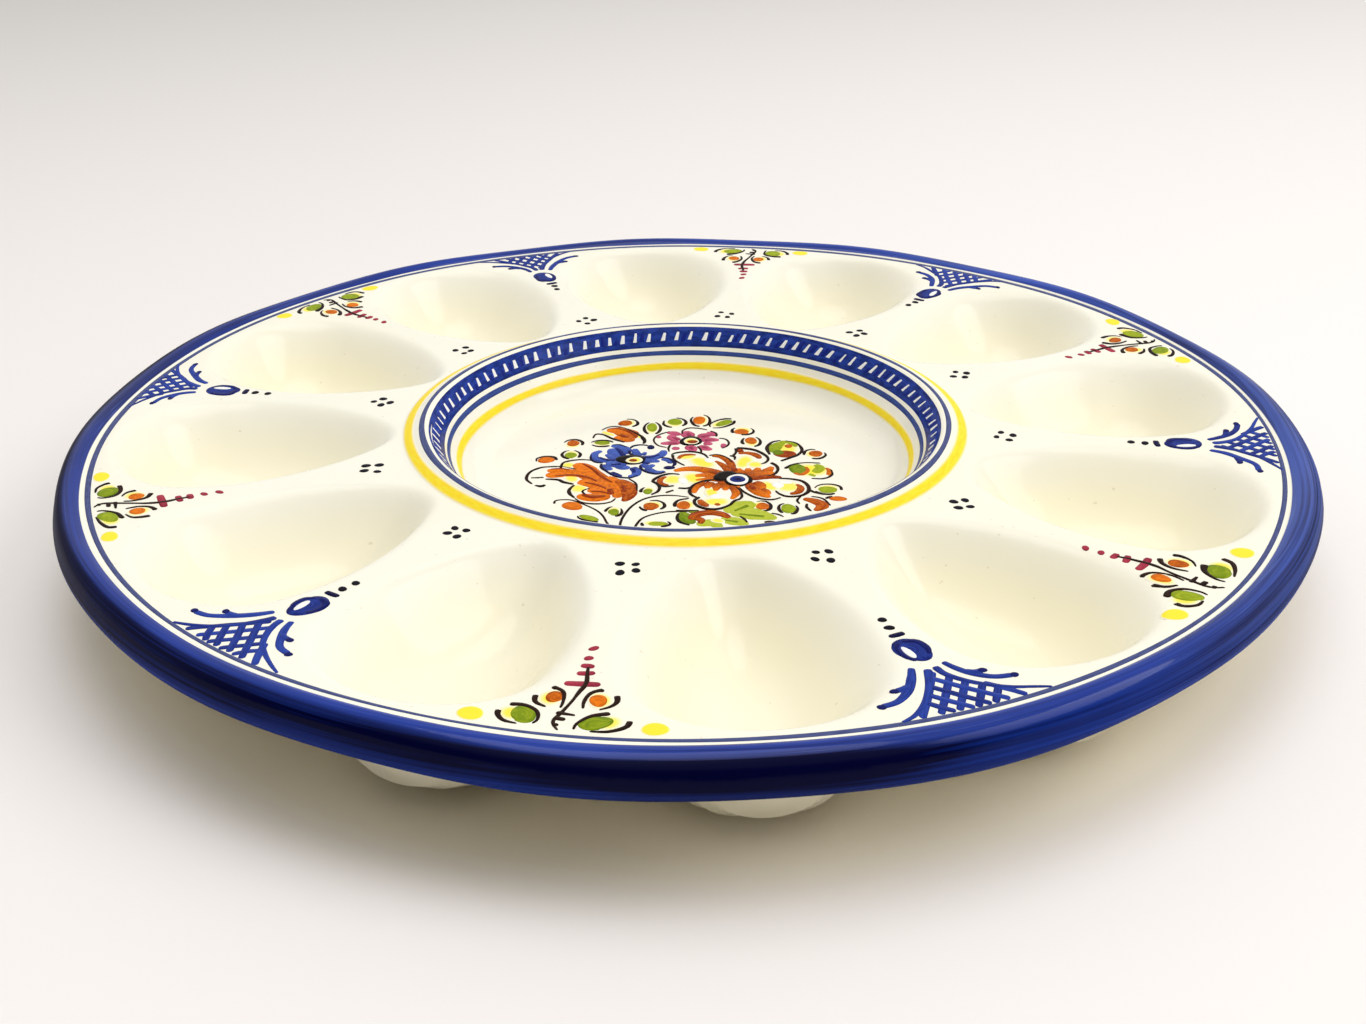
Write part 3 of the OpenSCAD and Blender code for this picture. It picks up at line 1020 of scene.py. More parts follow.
    def lay(self, nodes=()):
        """Lays the marks on the glaze and makes them a piece of the plate."""
        points = glaze_points(np.vstack(self.plan), np.concatenate(self.lift))
        mesh = bpy.data.meshes.new(self.name)
        mesh.from_pydata(points * MM, [], self.faces)
        corners = np.zeros(len(mesh.loops), np.int32)
        mesh.loops.foreach_get("vertex_index", corners)
        mesh.uv_layers.new(name="Brush").data.foreach_set(
            "uv", np.vstack(self.brush)[corners].astype(np.float32).ravel())
        mesh.attributes.new("load", "FLOAT", "POINT").data.foreach_set(
            "value", np.concatenate(self.load).astype(np.float32))
        mesh.polygons.foreach_set("use_smooth", [True] * len(mesh.polygons))
        mesh.update()
        piece = new_object(self.name, mesh)
        finish_piece(piece, [enamel(name) for name in self.enamels], nodes)
        mesh.polygons.foreach_set("material_index", self.shades)


def down_wall(share):
    """Radius at a share of the way down the bowl's wall."""
    return WALL_TOP_R + share * (WALL_END_R - WALL_TOP_R)


class PLATTER_OT_bands(bpy.types.Operator):
    """Draw the lines and bands that run right round the plate and its bowl"""

    bl_idname = "platter.bands"
    bl_label = "Painted Bands"

    # Enamel, radius, width, how far the course and the width stray, and the pull
    BANDS = {
        "rim_line": ("slate", LINE_OUT + 0.48, 1.5, 0.12, 0.1, (-0.15, -0.4, 0.25)),
        "yellow_band": ("yellow", 74.3, 3.2, 0.06, 0.04, (-0.4, 0.5, 0)),
        "lip_line": ("slate", 70.5, 1.5, 0.06, 0.1),
        "wall_line": ("line", down_wall(0.52), 0.9, 0.03, 0.06),
        "low_yellow_line": ("yellow", down_wall(0.83), 1.8, 0.05, 0.05),
    }

    def execute(self, context):
        for seed, (node, band) in enumerate(self.BANDS.items()):
            work = Brushwork("painted_" + node, seed=seed)
            work.ring(*band)
            work.lay([node])
        return {"FINISHED"}


class PLATTER_OT_ticks(bpy.types.Operator):
    """Draw the dark band on the bowl's wall with its slanted white ticks"""

    bl_idname = "platter.ticks"
    bl_label = "Ticked Band"

    # Radii of the band's edges, and the share of its gaps with a darker touch
    UPPER = 68.75
    LOWER = 64.9
    TOUCHED = 0.65

    def execute(self, context):
        count = settings("painting").ticks
        middle = (self.UPPER + self.LOWER) / 2
        half_step = math.pi * middle / count
        work = Brushwork("ticked_band", seed=21)
        work.ring("band_blue", middle, self.UPPER - self.LOWER, swell=0.02)
        for k in range(count):
            turn = 2 * math.pi * k / count + work.chance.normal(0, 0.004)
            work.place = on_rim(turn)
            high = self.UPPER - 0.8 + work.chance.normal(0, 0.09)
            low = self.LOWER + 0.6 + work.chance.normal(0, 0.08)
            slant = 0.75 + 0.45 * math.cos(turn) + work.chance.normal(0, 0.1)
            wide = 1.75 + work.chance.normal(0, 0.28)
            work.tick("white", (slant, low), (-slant, high), wide, wide * 0.42)
            if work.chance.random() < self.TOUCHED:
                self.touch(work, half_step, slant)
        work.lay(["tick_band"])
        return {"FINISHED"}

    def touch(self, work, aside, slant):
        """A darker touch of the brush beside a white tick."""
        wide = 1.1 + 0.9 * work.chance.random()
        low = self.LOWER + 0.25 + 0.5 * work.chance.random()
        high = self.UPPER - 0.3 - 1.4 * work.chance.random()
        work.tick("indigo", (aside + slant, low), (aside - slant, high), wide, wide * 0.7)


class PLATTER_OT_dots(bpy.types.Operator):
    """Put a mark of four dots on each ridge near the bowl"""

    bl_idname = "platter.dots"
    bl_label = "Four-Dot Marks"

    # Radius of the marks' middles, and the four dots about one
    MARK_R = 85.4
    DOTS = ((2.4, 0), (0, 2.4), (-2.4, 0), (0, -2.4))

    def execute(self, context):
        size = millimetres(settings("painting").dot) / 2
        for k in range(WELLS):
            work = Brushwork(f"four_dots_{k + 1:02d}", on_rim(k * PITCH), 0.25,
                             seed=40 + k)
            spin = work.chance.uniform(0, 90)
            for corner in turned(self.DOTS, spin, (0, self.MARK_R)):
                dab = size * work.chance.uniform(0.85, 1.15)
                work.dab("navy", corner, (dab * 1.1, dab * 0.92),
                         work.chance.uniform(0, 180), load=0.9, steps=14)
            work.lay()
        return {"FINISHED"}


class PLATTER_OT_lattices(bpy.types.Operator):
    """Paint the blue lattices with their scrolls and beads on every second ridge"""

    bl_idname = "platter.lattices"
    bl_label = "Blue Lattices"

    # How far each lattice sits from its ridge, along the rim and outwards
    OFFSETS = ((-0.2, 0.3), (0.8, -0.4), (-0.4, 0.5), (-1.5, 2.2), (0.4, -0.9), (-1.0, -2.0))

    # Where the bars start at the rim line, which way they run, and the fan's two sides
    BASE = 152.0
    BARS = ((52, (-10.0, -6.2, -2.2, 1.8, 5.6)), (130, (11.0, 7.0, 3.0, -1.0, -4.6)))
    LEFT = ((-0.9, 137.8), (-1.5, 139.6), (-3.9, 144.2), (-7.6, 148.6), (-11.6, 151.5),
            (-15.4, 153.4))
    RIGHT = ((0.9, 137.8), (1.4, 140.6), (3.4, 143.8), (6.4, 146.8), (10.4, 149.4),
             (14.4, 151.4), (18.0, 153.0))
    SCROLLS = (
        (((-3.4, 136.6), (-5.4, 140.2), (-8.4, 143.8), (-12, 146.8), (-16, 147.9)),
         (1.5, 2.0, 2.0, 1.6, 1.6)),
        (((-7.4, 142.6), (-9, 143.3), (-10.9, 143.4)), (1.6, 1.8, 1.7)),
        (((3.1, 137), (4.4, 140), (6.6, 143), (9.8, 145.6), (13.6, 146.6)),
         (1.4, 1.8, 1.8, 1.6, 1.6)),
        (((5.6, 141.4), (7.2, 142.5), (9, 142.7)), (1.5, 1.7, 1.7)))

    def execute(self, context):
        for k, offset in enumerate(self.OFFSETS):
            work = Brushwork(f"blue_lattice_{k + 1}", on_rim(2 * k * PITCH, *offset), 0.12,
                             seed=60 + k)
            self.fan(work)
            self.beads(work)
            work.lay()
        return {"FINISHED"}

    def side(self, x):
        """Radius of the fan's side at a place along the rim."""
        edge = np.array(self.RIGHT if x > 0 else self.LEFT[::-1])
        return np.interp(x, edge[:, 0], edge[:, 1])

    def bar(self, work, start, degrees):
        """One bar of the lattice, cut where it leaves the fan."""
        run = np.arange(-1.4, 16, 0.2)
        x = start + run * math.cos(math.radians(degrees))
        y = self.BASE - run * math.sin(math.radians(degrees))
        out = [i for i in range(len(run)) if y[i] < self.side(x[i]) - 0.3]
        last = out[0] if out else len(run) - 1
        if last > 4:
            work.stroke("brush_blue", [(x[i], y[i]) for i in (0, last // 2, last)],
                        (1.5, 1.75, 1.6))

    def fan(self, work):
        """The lattice with its two sides, and scrolls that end in a drop."""
        for degrees, starts in self.BARS:
            for start in starts:
                self.bar(work, start, degrees)
        work.stroke("brush_blue", self.LEFT, (2.0, 1.7, 1.5, 1.3, 1.1, 0.7))
        work.stroke("brush_blue", self.RIGHT, (1.9, 1.7, 1.5, 1.3, 1.1, 0.9, 0.6))
        work.strokes("brush_blue", self.SCROLLS)
        for points, _ in self.SCROLLS:
            work.dab("brush_blue", points[-1], (1.0, 0.8), 10, load=1.0, steps=12)

    def beads(self, work):
        """The egg-shaped bead at the fan's foot, with the dark beads below it."""
        work.dab("brush_blue", (0.2, 130.6), (5.0, 3.6), 86, load=0.55, steps=28)
        work.strokes("brush_blue", (
            (((-0.6, 126.6), (2.2, 127.6), (3.1, 130.4), (2.2, 133.4)), (1.2, 2.0, 1.8, 1.0)),
            (((-1.0, 134.4), (-2.7, 132.2), (-2.6, 129), (-1, 127)), (1.0, 1.4, 1.4, 1.0))),
            0.95)
        work.dab("white", (-1.1, 131.2), (2.6, 0.95), 82, steps=16)
        work.stroke("navy", ((-2.1, 124), (0, 123.9), (1.9, 123.7)), (1.4, 1.7, 1.5), 0.6)
        work.dab("navy", (-0.1, 120.9), (1.2, 0.95), 20, load=0.9, steps=14)
        work.dab("navy", (0, 117.4), (1.05, 0.95), 40, load=0.9, steps=14)


class PLATTER_OT_sprigs(bpy.types.Operator):
    """Paint the sprigs of buds with crimson dashes on the ridges between the lattices"""

    bl_idname = "platter.sprigs"
    bl_label = "Bud Sprigs"

    # How far each sprig sits from its ridge, along the rim and outwards
    OFFSETS = ((-0.3, 0.4), (-0.7, 0.9), (-1.2, 1.4), (0.3, 1.4), (-0.3, -0.9), (-2.2, -2.8))

    def execute(self, context):
        for k, offset in enumerate(self.OFFSETS):
            work = Brushwork(f"bud_sprig_{k + 1}", on_rim((2 * k + 1) * PITCH, *offset),
                             0.12, seed=80 + k)
            self.buds(work)
            self.stem(work)
            work.lay()
        return {"FINISHED"}

    def buds(self, work):
        for shade, centre, half, degrees in (
                ("lemon", (-18.0, 149.9), (3.0, 2.4), -5),
                ("lemon", (17.2, 150.1), (3.0, 2.3), 20),
                ("petal_yellow", (-10.4, 148.0), (3.0, 2.8), 0),
                ("green", (-8.6, 148.0), (3.1, 2.6), 65),
                ("petal_yellow", (8.2, 148.4), (3.0, 2.8), -20),
                ("green", (6.0, 148.6), (3.4, 2.5), -20),
                ("petal_yellow", (-4.5, 141.2), (2.7, 3.3), 20),
                ("orange", (-4.0, 140.9), (1.9, 2.2), 0),
                ("petal_yellow", (5.0, 140.9), (2.6, 3.3), -20),
                ("orange", (4.6, 141.1), (1.9, 2.3), -20)):
            work.dab(shade, centre, half, degrees)
        work.strokes("ink", (
            (((-13.5, 147.3), (-13.2, 149.2), (-11.4, 150.9), (-8.6, 151.2)),
             (1.6, 1.2, 0.9, 0.4)),
            (((-6.0, 150.7), (-5.3, 149), (-6.0, 146.2), (-8.8, 144.7), (-11.8, 145)),
             (0.5, 0.8, 1.1, 1.3, 1.6)),
            (((5.2, 151.6), (8.8, 151.1), (11.6, 149.3), (12.0, 147.2)),
             (0.4, 0.9, 1.3, 1.4)),
            (((2.0, 151.2), (2.3, 149.1), (4.4, 146.5), (7.9, 145.2)), (0.5, 0.9, 1.3, 1.8)),
            (((-7.8, 140.7), (-7.0, 143.1), (-4.9, 144.7)), (1.5, 1.1, 0.5)),
            (((-2.3, 144.5), (-1.6, 141.8), (-2.8, 138.6), (-5.4, 137.2)),
             (0.5, 0.8, 1.1, 1.5)),
            (((2.5, 144), (2.0, 141.2), (2.9, 138.3), (5.0, 136.8)), (0.5, 0.9, 1.2, 1.6)),
            (((5.2, 144.4), (7.3, 143), (8.4, 140.7), (7.9, 138.5)), (0.4, 0.8, 1.2, 1.4))))

    def stem(self, work):
        work.strokes("crimson", (
            (((-3.4, 135.4), (0.4, 135.2), (3.9, 135.0)), (1.8, 2.1, 1.8)),
            (((-1.6, 131.5), (0.4, 131.2), (2.1, 130.7)), (1.6, 1.8, 1.5)),
            (((-1.5, 128.4), (0, 128.4), (1.4, 128.3)), (1.6, 1.9, 1.6))), (0.3, 0.9))
        work.dab("crimson", (-0.5, 125.3), (1.1, 0.8), -30, load=0.5, steps=14)
        work.dab("crimson", (-0.4, 121.5), (1.2, 0.8), -40, load=0.5, steps=14)
        work.strokes("ink", (
            (((-0.5, 151.8), (-1.8, 150.5), (-2.2, 148.8), (-1.6, 146.2), (-0.3, 141.8),
              (0.6, 138.2), (1, 134.8), (0.4, 131), (0, 128.4)),
             (0.4, 0.8, 0.9, 0.7, 0.7, 1.1, 1.1, 0.9, 0.6)),
            (((-2.2, 150.2), (-0.9, 150.4)), (1.2, 1.0)),
            (((-2.3, 148.0), (0, 148.2)), (1.3, 1.2)),
            (((-2.4, 146.2), (1.5, 146.4)), (1.3, 0.5))))


# Widths along a dark crescent, which swells towards its end
CRESCENT = (0.4, 0.75, 1.0, 1.15, 0.8)


def bud(work, centre, half, degrees, shade, light, crescents):
    """A bud of one colour, with a yellow light on one side and dark crescents round it.

    Light is the way to the yellow side in degrees, or none. A crescent is given by the
    angles at which it starts and ends.
    """
    centre = np.asarray(centre, float)
    half = np.array(half)
    work.marks = 0
    if light is None:
        work.dab(shade, centre, half * 0.9, degrees)
    else:
        way = np.array([math.cos(math.radians(light)), math.sin(math.radians(light))])
        work.dab("petal_yellow", centre + way * half * 0.10, half * 0.95, degrees)
        work.dab(shade, centre - way * half * 0.14, half * 0.76, degrees)
    reach = half * 1.08
    for start, end in crescents:
        t = np.radians(np.linspace(start, end, len(CRESCENT)))
        points = np.stack([reach[0] * np.cos(t), reach[1] * np.sin(t)], 1)
        work.stroke("ink", turned(points, degrees, centre), CRESCENT)


class PLATTER_OT_bouquet(bpy.types.Operator):
    """Paint the bouquet on the bowl's floor, with its flowers, buds, leaves and stems"""

    bl_idname = "platter.bouquet"
    bl_label = "Bouquet"

    def execute(self, context):
        work = Brushwork("bouquet", in_front, 0.08, seed=7)
        # Each part starts as many marks above the glaze as it takes to lie over the last
        for level, part in ((0, self.stems), (0, self.small_buds), (8, self.large_buds),
                            (0, self.tulip), (8, self.leaves), (24, self.large_flower),
                            (20, self.blue_flower), (8, self.rose_flower)):
            work.marks = level
            part(work)
        work.lay()
        return {"FINISHED"}

    def stems(self, work):
        work.strokes("ink", (
            (((1, -19.5), (-3, -18.3), (-7, -18.4), (-11, -20.5), (-14, -24.5), (-16, -30),
              (-16.8, -35), (-16.4, -40), (-14.6, -45)),
             (0.4, 0.7, 0.8, 0.8, 0.8, 0.8, 0.8, 0.8, 0.4)),
            (((2.5, -27.5), (-0.5, -27.7), (-4.5, -28), (-8, -29), (-11, -31.5), (-12.6, -35),
              (-13.6, -40), (-14.8, -45)), (0.8, 0.8, 0.7, 0.7, 0.8, 0.8, 0.7, 0.4)),
            (((-34.5, -23), (-34, -20.9), (-30.5, -20.6), (-27, -23), (-23.5, -26.5),
              (-21.5, -30), (-20.2, -34), (-18, -40), (-15.2, -45)),
             (0.7, 0.6, 0.6, 0.6, 0.7, 0.7, 0.7, 0.6, 0.4)),
            (((-15, -45), (-11, -47.5), (-6.5, -47), (-5.6, -44.6)), (0.4, 0.7, 0.7, 0.5)),
            (((-15.4, -45), (-19.5, -46.5), (-23.5, -45), (-24.4, -42.4)),
             (0.4, 0.7, 0.7, 0.5)),
            (((-42, -2.6), (-39, 0), (-34.5, 0.4), (-30, -1.4)), (0.4, 0.6, 0.6, 0.4)),
            (((-42, -6.7), (-39.6, -6.9)), (0.7, 0.5)),
            (((-40.6, -11.6), (-38.6, -12.4), (-37.6, -11.2)), (0.5, 1.0, 0.5))))

    def small_buds(self, work):
        for marks in (
                ((-16.9, 30.3), (2.9, 2.9), 0, "orange", 0, ((95, -60),)),
                ((-9.5, 26.6), (2.2, 4.4), 0, "green", -90, ((110, 250), (70, -65))),
                ((-3.0, 30.6), (3.1, 3.3), 0, "green", -90, ((150, 260), (85, -50))),
                ((4.6, 32.0), (2.5, 4.2), 0, "orange", 0, ((140, 265), (75, -75))),
                ((11.0, 29.8), (4.2, 2.3), 42, "green", 220, ((175, 10), (190, 340))),
                ((16.7, 24.2), (2.9, 2.7), 0, "orange", 60, ((130, 215), (45, -100))),
                ((18.9, 16.6), (2.4, 3.4), 0, "orange", -90, ((135, 215), (60, -80))),
                ((36.2, 7.7), (2.8, 2.9), 0, "orange", 200, ((75, 195), (20, -110))),
                ((38.0, -15.0), (3.5, 2.8), 0, "green", 90, ((165, -15), (200, 300))),
                ((40.2, -20.8), (2.7, 1.6), 0, "orange", None, ((120, 190),)),
                ((26.7, -26.5), (2.3, 3.0), 0, "green", None, ((105, 235), (35, -85))),
                ((19.7, -25.0), (2.5, 2.9), 0, "orange", 180, ((120, -95),)),
                ((-0.1, -24.2), (2.6, 3.4), 0, "orange", 20, ((80, 195),)),
                ((-8.7, -24.4), (3.0, 2.9), 30, "orange", 60, ((150, 220), (75, -80))),
                ((-18.6, -27.5), (2.0, 2.7), 0, "green", 90, ((100, 190), (40, -85))),
                ((-29.6, -24.2), (3.4, 2.6), -42, "orange", None, ()),
                ((-24.8, -31.3), (3.3, 1.5), -30, "green", None, ((190, 340),)),
                ((-7.6, -34.7), (3.4, 1.8), 0, "green", 160, ((40, -70), (160, 215))),
                ((-9.9, -15.4), (1.8, 2.2), 0, "green", 90, ((115, 205),)),
                ((-23.5, 15.9), (3.1, 2.0), 0, "green", -90, ((165, 15), (200, 310))),
                ((-31.8, 15.6), (2.6, 2.9), 0, "orange", -90, ((165, -20),)),
                ((-31.9, 8.2), (2.3, 2.8), 20, "green", 60, ((75, 240), (60, -60))),
                ((-38.6, 4.8), (2.8, 2.3), 0, "orange", None, ((205, -5),)),
                ((-22.6, -38.4), (3.4, 2.0), 60, "green", None, ((20, 150), (200, 320))),
                ((-8.4, -41.2), (3.2, 2.2), 20, "orange", 90, ((170, 40), (200, 330))),
                ((2.6, -41.6), (3.4, 2.2), -10, "green", 0, ((160, 20), (210, 340))),
                ((13.4, -40.2), (3.0, 2.4), 20, "orange", 180, ((100, -60),)),
                ((22.4, -36.6), (3.2, 2.0), -30, "green", None, ((20, 160), (210, 330)))):
            bud(work, *marks)

    def large_buds(self, work):
        # Green bud with an orange foot, at the right
        work.dab("petal_yellow", (28.4, 11.6), (4.0, 5.2))
        work.strokes("green", (
            (((28, 16), (25.8, 12.8), (25.2, 8.6)), (2.8, 4.6, 2.6)),
            (((26.8, 16.2), (30, 15.6), (31.6, 12.2)), (1.8, 2.6, 1.2))), (0.1, 0.5))
        work.dab("orange", (28, 7.8), (3.2, 2.5), load=0.8)
        work.dab("green", (26.2, 8.6), (1.6, 1.8), load=0.9)
        work.dab("orange", (29.3, 13.0), (1.2, 1.4))
        work.strokes("ink", (
            (((27.4, 17), (24.6, 15.9), (23.1, 12), (23.6, 7.4)), (0.6, 1.0, 1.2, 0.8)),
            (((28.4, 17), (31.6, 15), (32.9, 10.6), (31.5, 7), (29.5, 5.6), (26.4, 3)),
             (0.5, 0.9, 1.1, 1.0, 1.2, 0.9))))
        # Curled leaf below it
        work.dab("petal_yellow", (34.2, -3.2), (6.4, 5.0), -10, load=0.9)
        work.marks += 1
        work.dab("green", (31.0, -2.6), (2.8, 3.9), 20, load=0.7)
        work.strokes("orange", (
            (((29.4, -4.6), (31.6, -6), (33.6, -3.4), (33, -0.6)), (1.2, 1.8, 1.4, 0.8)),
            (((38.2, -1.4), (39.4, -3.8), (38.4, -6.6)), (0.9, 2.2, 1.0))), 0.4)
        work.strokes("green", (
            (((35.6, 0.8), (37.0, -1.8), (35.2, -5.2)), (1.8, 3.6, 3.0)),
            (((33.6, -5.6), (35.4, -7.2)), (1.6, 1.4))), 0.1)
        work.marks -= 1
        work.strokes("ink", (
            (((27.2, -2), (29.5, 0.5), (33, 1.9), (37.4, 1.5)), (1.1, 0.9, 0.8, 0.5)),
            (((34, -8.4), (37.5, -8.4), (39.9, -6.2), (40, -2.6)), (0.5, 0.7, 0.8, 0.4))))
        # Folded leaf at the lower right
        work.strokes("orange", (
            (((31, -20.8), (34, -22.2), (35.8, -25), (33.4, -28)), (1.8, 3.4, 3.8, 1.4)),),
            0.6)
        work.strokes("ink", (
            (((31.8, -23.6), (31.6, -25.8), (32.6, -28.2)), (0.6, 1.0, 0.6)),
            (((30.6, -19.2), (29.4, -21.6), (29.8, -24)), (0.4, 0.8, 0.5)),
            (((33, -19.4), (36, -20.8), (37.8, -25)), (0.4, 0.7, 0.5))))
        # Folded leaf at the upper left
        work.strokes("petal_yellow", (
            (((-24, 24.4), (-22, 22.4), (-20.4, 21.4)), (1.4, 2.2, 1.6)),
            (((-13.6, 21.4), (-12.9, 19.4)), (1.8, 1.6))))
        work.strokes("orange", (
            (((-22.8, 25.2), (-19.4, 24.9), (-16.3, 22.4), (-14.2, 19.2)),
             (2.4, 5.4, 6.8, 4.2)),
            (((-20.0, 20.7), (-17.4, 18.8), (-14.2, 18.0)), (3.0, 4.6, 2.8))), (0.0, 0.6))
        work.strokes("orange", (
            (((-22.6, 26), (-19, 26), (-15.6, 23.4), (-13.6, 19.6)), (0.6, 1.2, 1.6, 1.0)),
            (((-19, 22), (-17.4, 20.4), (-15.6, 20)), (1.0, 2.0, 1.0))), (0.9, 1.0))
        work.strokes("ink", (
            (((-24.2, 25.3), (-22, 27.6), (-19, 27.4), (-15.5, 24.6), (-12.6, 20.6),
              (-11.5, 17.4), (-11.7, 15.4)), (0.35, 0.5, 0.6, 0.8, 1.1, 1.4, 0.7)),
            (((-26.4, 19.6), (-25.6, 22.3), (-23.5, 22.1), (-20.6, 19.2), (-17, 16.6)),
             (0.5, 0.7, 0.8, 1.1, 0.6))))

    def tulip(self, work):
        work.dab("petal_yellow", (-32.2, 1.2), (2.4, 2.0))
        work.dab("petal_yellow", (-31.0, -7.4), (2.2, 3.2), 20)
        work.dab("petal_yellow", (-28.6, -13.8), (2.8, 3.0), 40)
        work.strokes("orange", (
            (((-38.2, -5.6), (-33, -4.2), (-28, -4.4), (-23, -8)), (3.6, 5.0, 6.0, 5.4)),
            (((-38.0, -2.4), (-33.2, -2.0), (-30, -3.2)), (2.2, 2.8, 2.4)),
            (((-31.0, 2.0), (-28, -0.4), (-25.5, -5.5), (-22, -10.4)),
             (3.6, 6.4, 7.2, 7.4)),
            (((-29.2, -9.2), (-24.4, -10.8), (-20, -14)), (3.8, 7.0, 8.0)),
            (((-29.0, -18.0), (-24.4, -19.3), (-20, -17.4)), (3.2, 5.4, 5.6)),
            (((-26.4, -14.6), (-21, -14.8), (-18, -16.6)), (3.0, 6.0, 6.4)),
            (((-21.4, -6.4), (-18.6, -10.6), (-17.8, -15.4), (-18.4, -19.6)),
             (3.0, 4.6, 4.6, 2.4))), (0.0, 0.35))
        work.strokes("orange", (
            (((-18.6, -8.4), (-15.6, -12.4), (-15.2, -18.4), (-16.4, -22.0)),
             (3.0, 5.2, 4.8, 1.4)),), (0.5, 0.8))
        work.strokes("orange", (
            (((-36, -5.8), (-31.4, -5.4), (-27, -6.6), (-23.6, -9.6)), (0.7, 1.2, 1.4, 0.8)),
            (((-37.2, -1.4), (-34, -1.0), (-31.6, -2)), (0.7, 1.0, 0.7)),
            (((-28.4, 2.2), (-25.4, -1.6), (-22.8, -6.4), (-19.6, -10.4)),
             (0.7, 1.3, 1.3, 0.8)),
            (((-27.4, -9.8), (-24, -11.4), (-21, -14.2)), (0.7, 1.2, 0.8)),
            (((-27.6, -17.4), (-24.6, -19), (-20.8, -18.4)), (1.4, 2.2, 1.2)),
            (((-25.6, -15.4), (-22.6, -15.6), (-19.6, -17.6)), (0.7, 1.2, 0.8)),
            (((-20.4, -13.6), (-19.6, -17.8)), (1.8, 2.2)),
            (((-16.8, -11.6), (-16.2, -16.8)), (1.0, 1.4))), (0.95, 1.0))
        work.strokes("ink", (
            (((-34.4, -0.6), (-33.6, 3), (-30, 4.8), (-26.4, 4.5), (-23.8, 2.6)),
             (0.9, 0.9, 0.8, 0.6, 0.4)),
            (((-35, 0.3), (-39.6, -0.2), (-42.6, -3.2), (-43, -7.4), (-41.2, -10.8)),
             (0.5, 0.7, 0.9, 1.0, 0.6)),
            (((-41, -6.8), (-38.4, -6.6)), (0.6, 0.6)),
            (((-40.4, -11.4), (-38.8, -12.2), (-37.4, -11.2)), (0.5, 1.2, 0.6)),
            (((-38.0, -7.6), (-34.4, -8.2), (-32.9, -9.5), (-30, -11)),
             (0.6, 1.1, 1.3, 0.8)),
            (((-29.8, -11.4), (-31.1, -14.4), (-30.8, -17), (-29.4, -19.6)),
             (0.7, 1.1, 1.2, 0.6)),
            (((-29.4, -19.6), (-27, -22.3), (-23, -23.1), (-19.6, -22), (-18.4, -19.8)),
             (0.4, 0.7, 0.8, 0.6, 0.4)),
            (((-26.4, -17.8), (-27.4, -15.4), (-25.4, -13.6)), (0.5, 0.8, 0.5)),
            (((-15.4, -7.6), (-13.2, -10.8), (-12.8, -15.4)), (0.4, 0.7, 0.4))))

    def leaves(self, work):
        work.strokes("lime", (
            (((10.0, -28), (14.2, -25.6), (18.2, -22.8)), (4.4, 7.6, 4.6)),
            (((11.6, -29), (16.4, -29.2), (23.4, -32.4)), (4.4, 7.4, 2.0)),
            (((8.6, -32.4), (12.2, -33.4), (16, -35.6)), (3.2, 5.0, 2.0)),
            (((2.6, -35.4), (6.6, -34.6), (9, -37.6)), (3.0, 4.4, 2.0))), (0.3, 0.6))
        work.dab("petal_yellow", (8.2, -33.2), (2.2, 1.4), -20)
        work.strokes("green", (
            (((-0.8, -28), (-0.4, -31), (2.0, -35)), (3.4, 4.6, 2.4)),
            (((0.6, -27.6), (3.4, -28.6)), (2.0, 2.0))), (0.6, 0.9))
        work.strokes("green", (
            (((12.4, -28), (16.6, -24.4)), (0.8, 1.6)),
            (((13.6, -29.6), (20.4, -31.2)), (0.9, 1.4)),
            (((9.8, -33), (13.4, -34.2)), (0.8, 1.2))), 0.75)
        work.strokes("orange", (
            (((1, -33), (2.8, -29.8), (6, -28.7), (9.4, -29.6), (11.4, -32.2)),
             (2.4, 3.4, 3.2, 3.0, 1.8)),
            (((2.2, -31.6), (4, -33), (3.4, -35.4)), (2.6, 2.4, 1.4))), 0.75)
        work.strokes("ink", (
            (((-1.6, -28.6), (-2.1, -31.6), (-1.4, -34), (1, -36)), (0.7, 1.0, 1.1, 0.6)),
            (((13.8, -30.6), (15, -32.4), (15.8, -34.8)), (0.4, 0.9, 0.6)),
            (((22.2, -29.2), (24, -30), (25.2, -31.4)), (0.5, 0.7, 0.4)),
            (((-2.6, -27.2), (0.4, -27.6), (3.6, -27.2)), (0.5, 1.2, 0.6)),
            (((-3.2, -24.4), (-2, -21.4), (1.2, -20.2)), (0.6, 0.9, 0.5)),
            (((4.6, -37.6), (8, -39), (12, -37.6)), (0.4, 0.8, 0.5))))

    def large_flower(self, work):
        for centre, half, degrees in (
                ((4.6, 2.4), (5.4, 3.4), -48), ((0.4, 6.0), (3.4, 1.8), 10),
                ((16.4, 2.6), (2.8, 5.2), -18), ((19.4, 0.8), (2.6, 2.4), 0),
                ((-3.2, -8.6), (3.2, 3.6), 0), ((2.2, -7.8), (3.2, 4.4), 10),
                ((27.6, -13.6), (3.8, 3.8), 0), ((22.4, -13.2), (2.4, 4.0), 25),
                ((8.0, -22.4), (4.2, 3.0), 0), ((6.8, -16.6), (2.2, 3.2), 0)):
            work.dab("petal_yellow", centre, half, degrees)
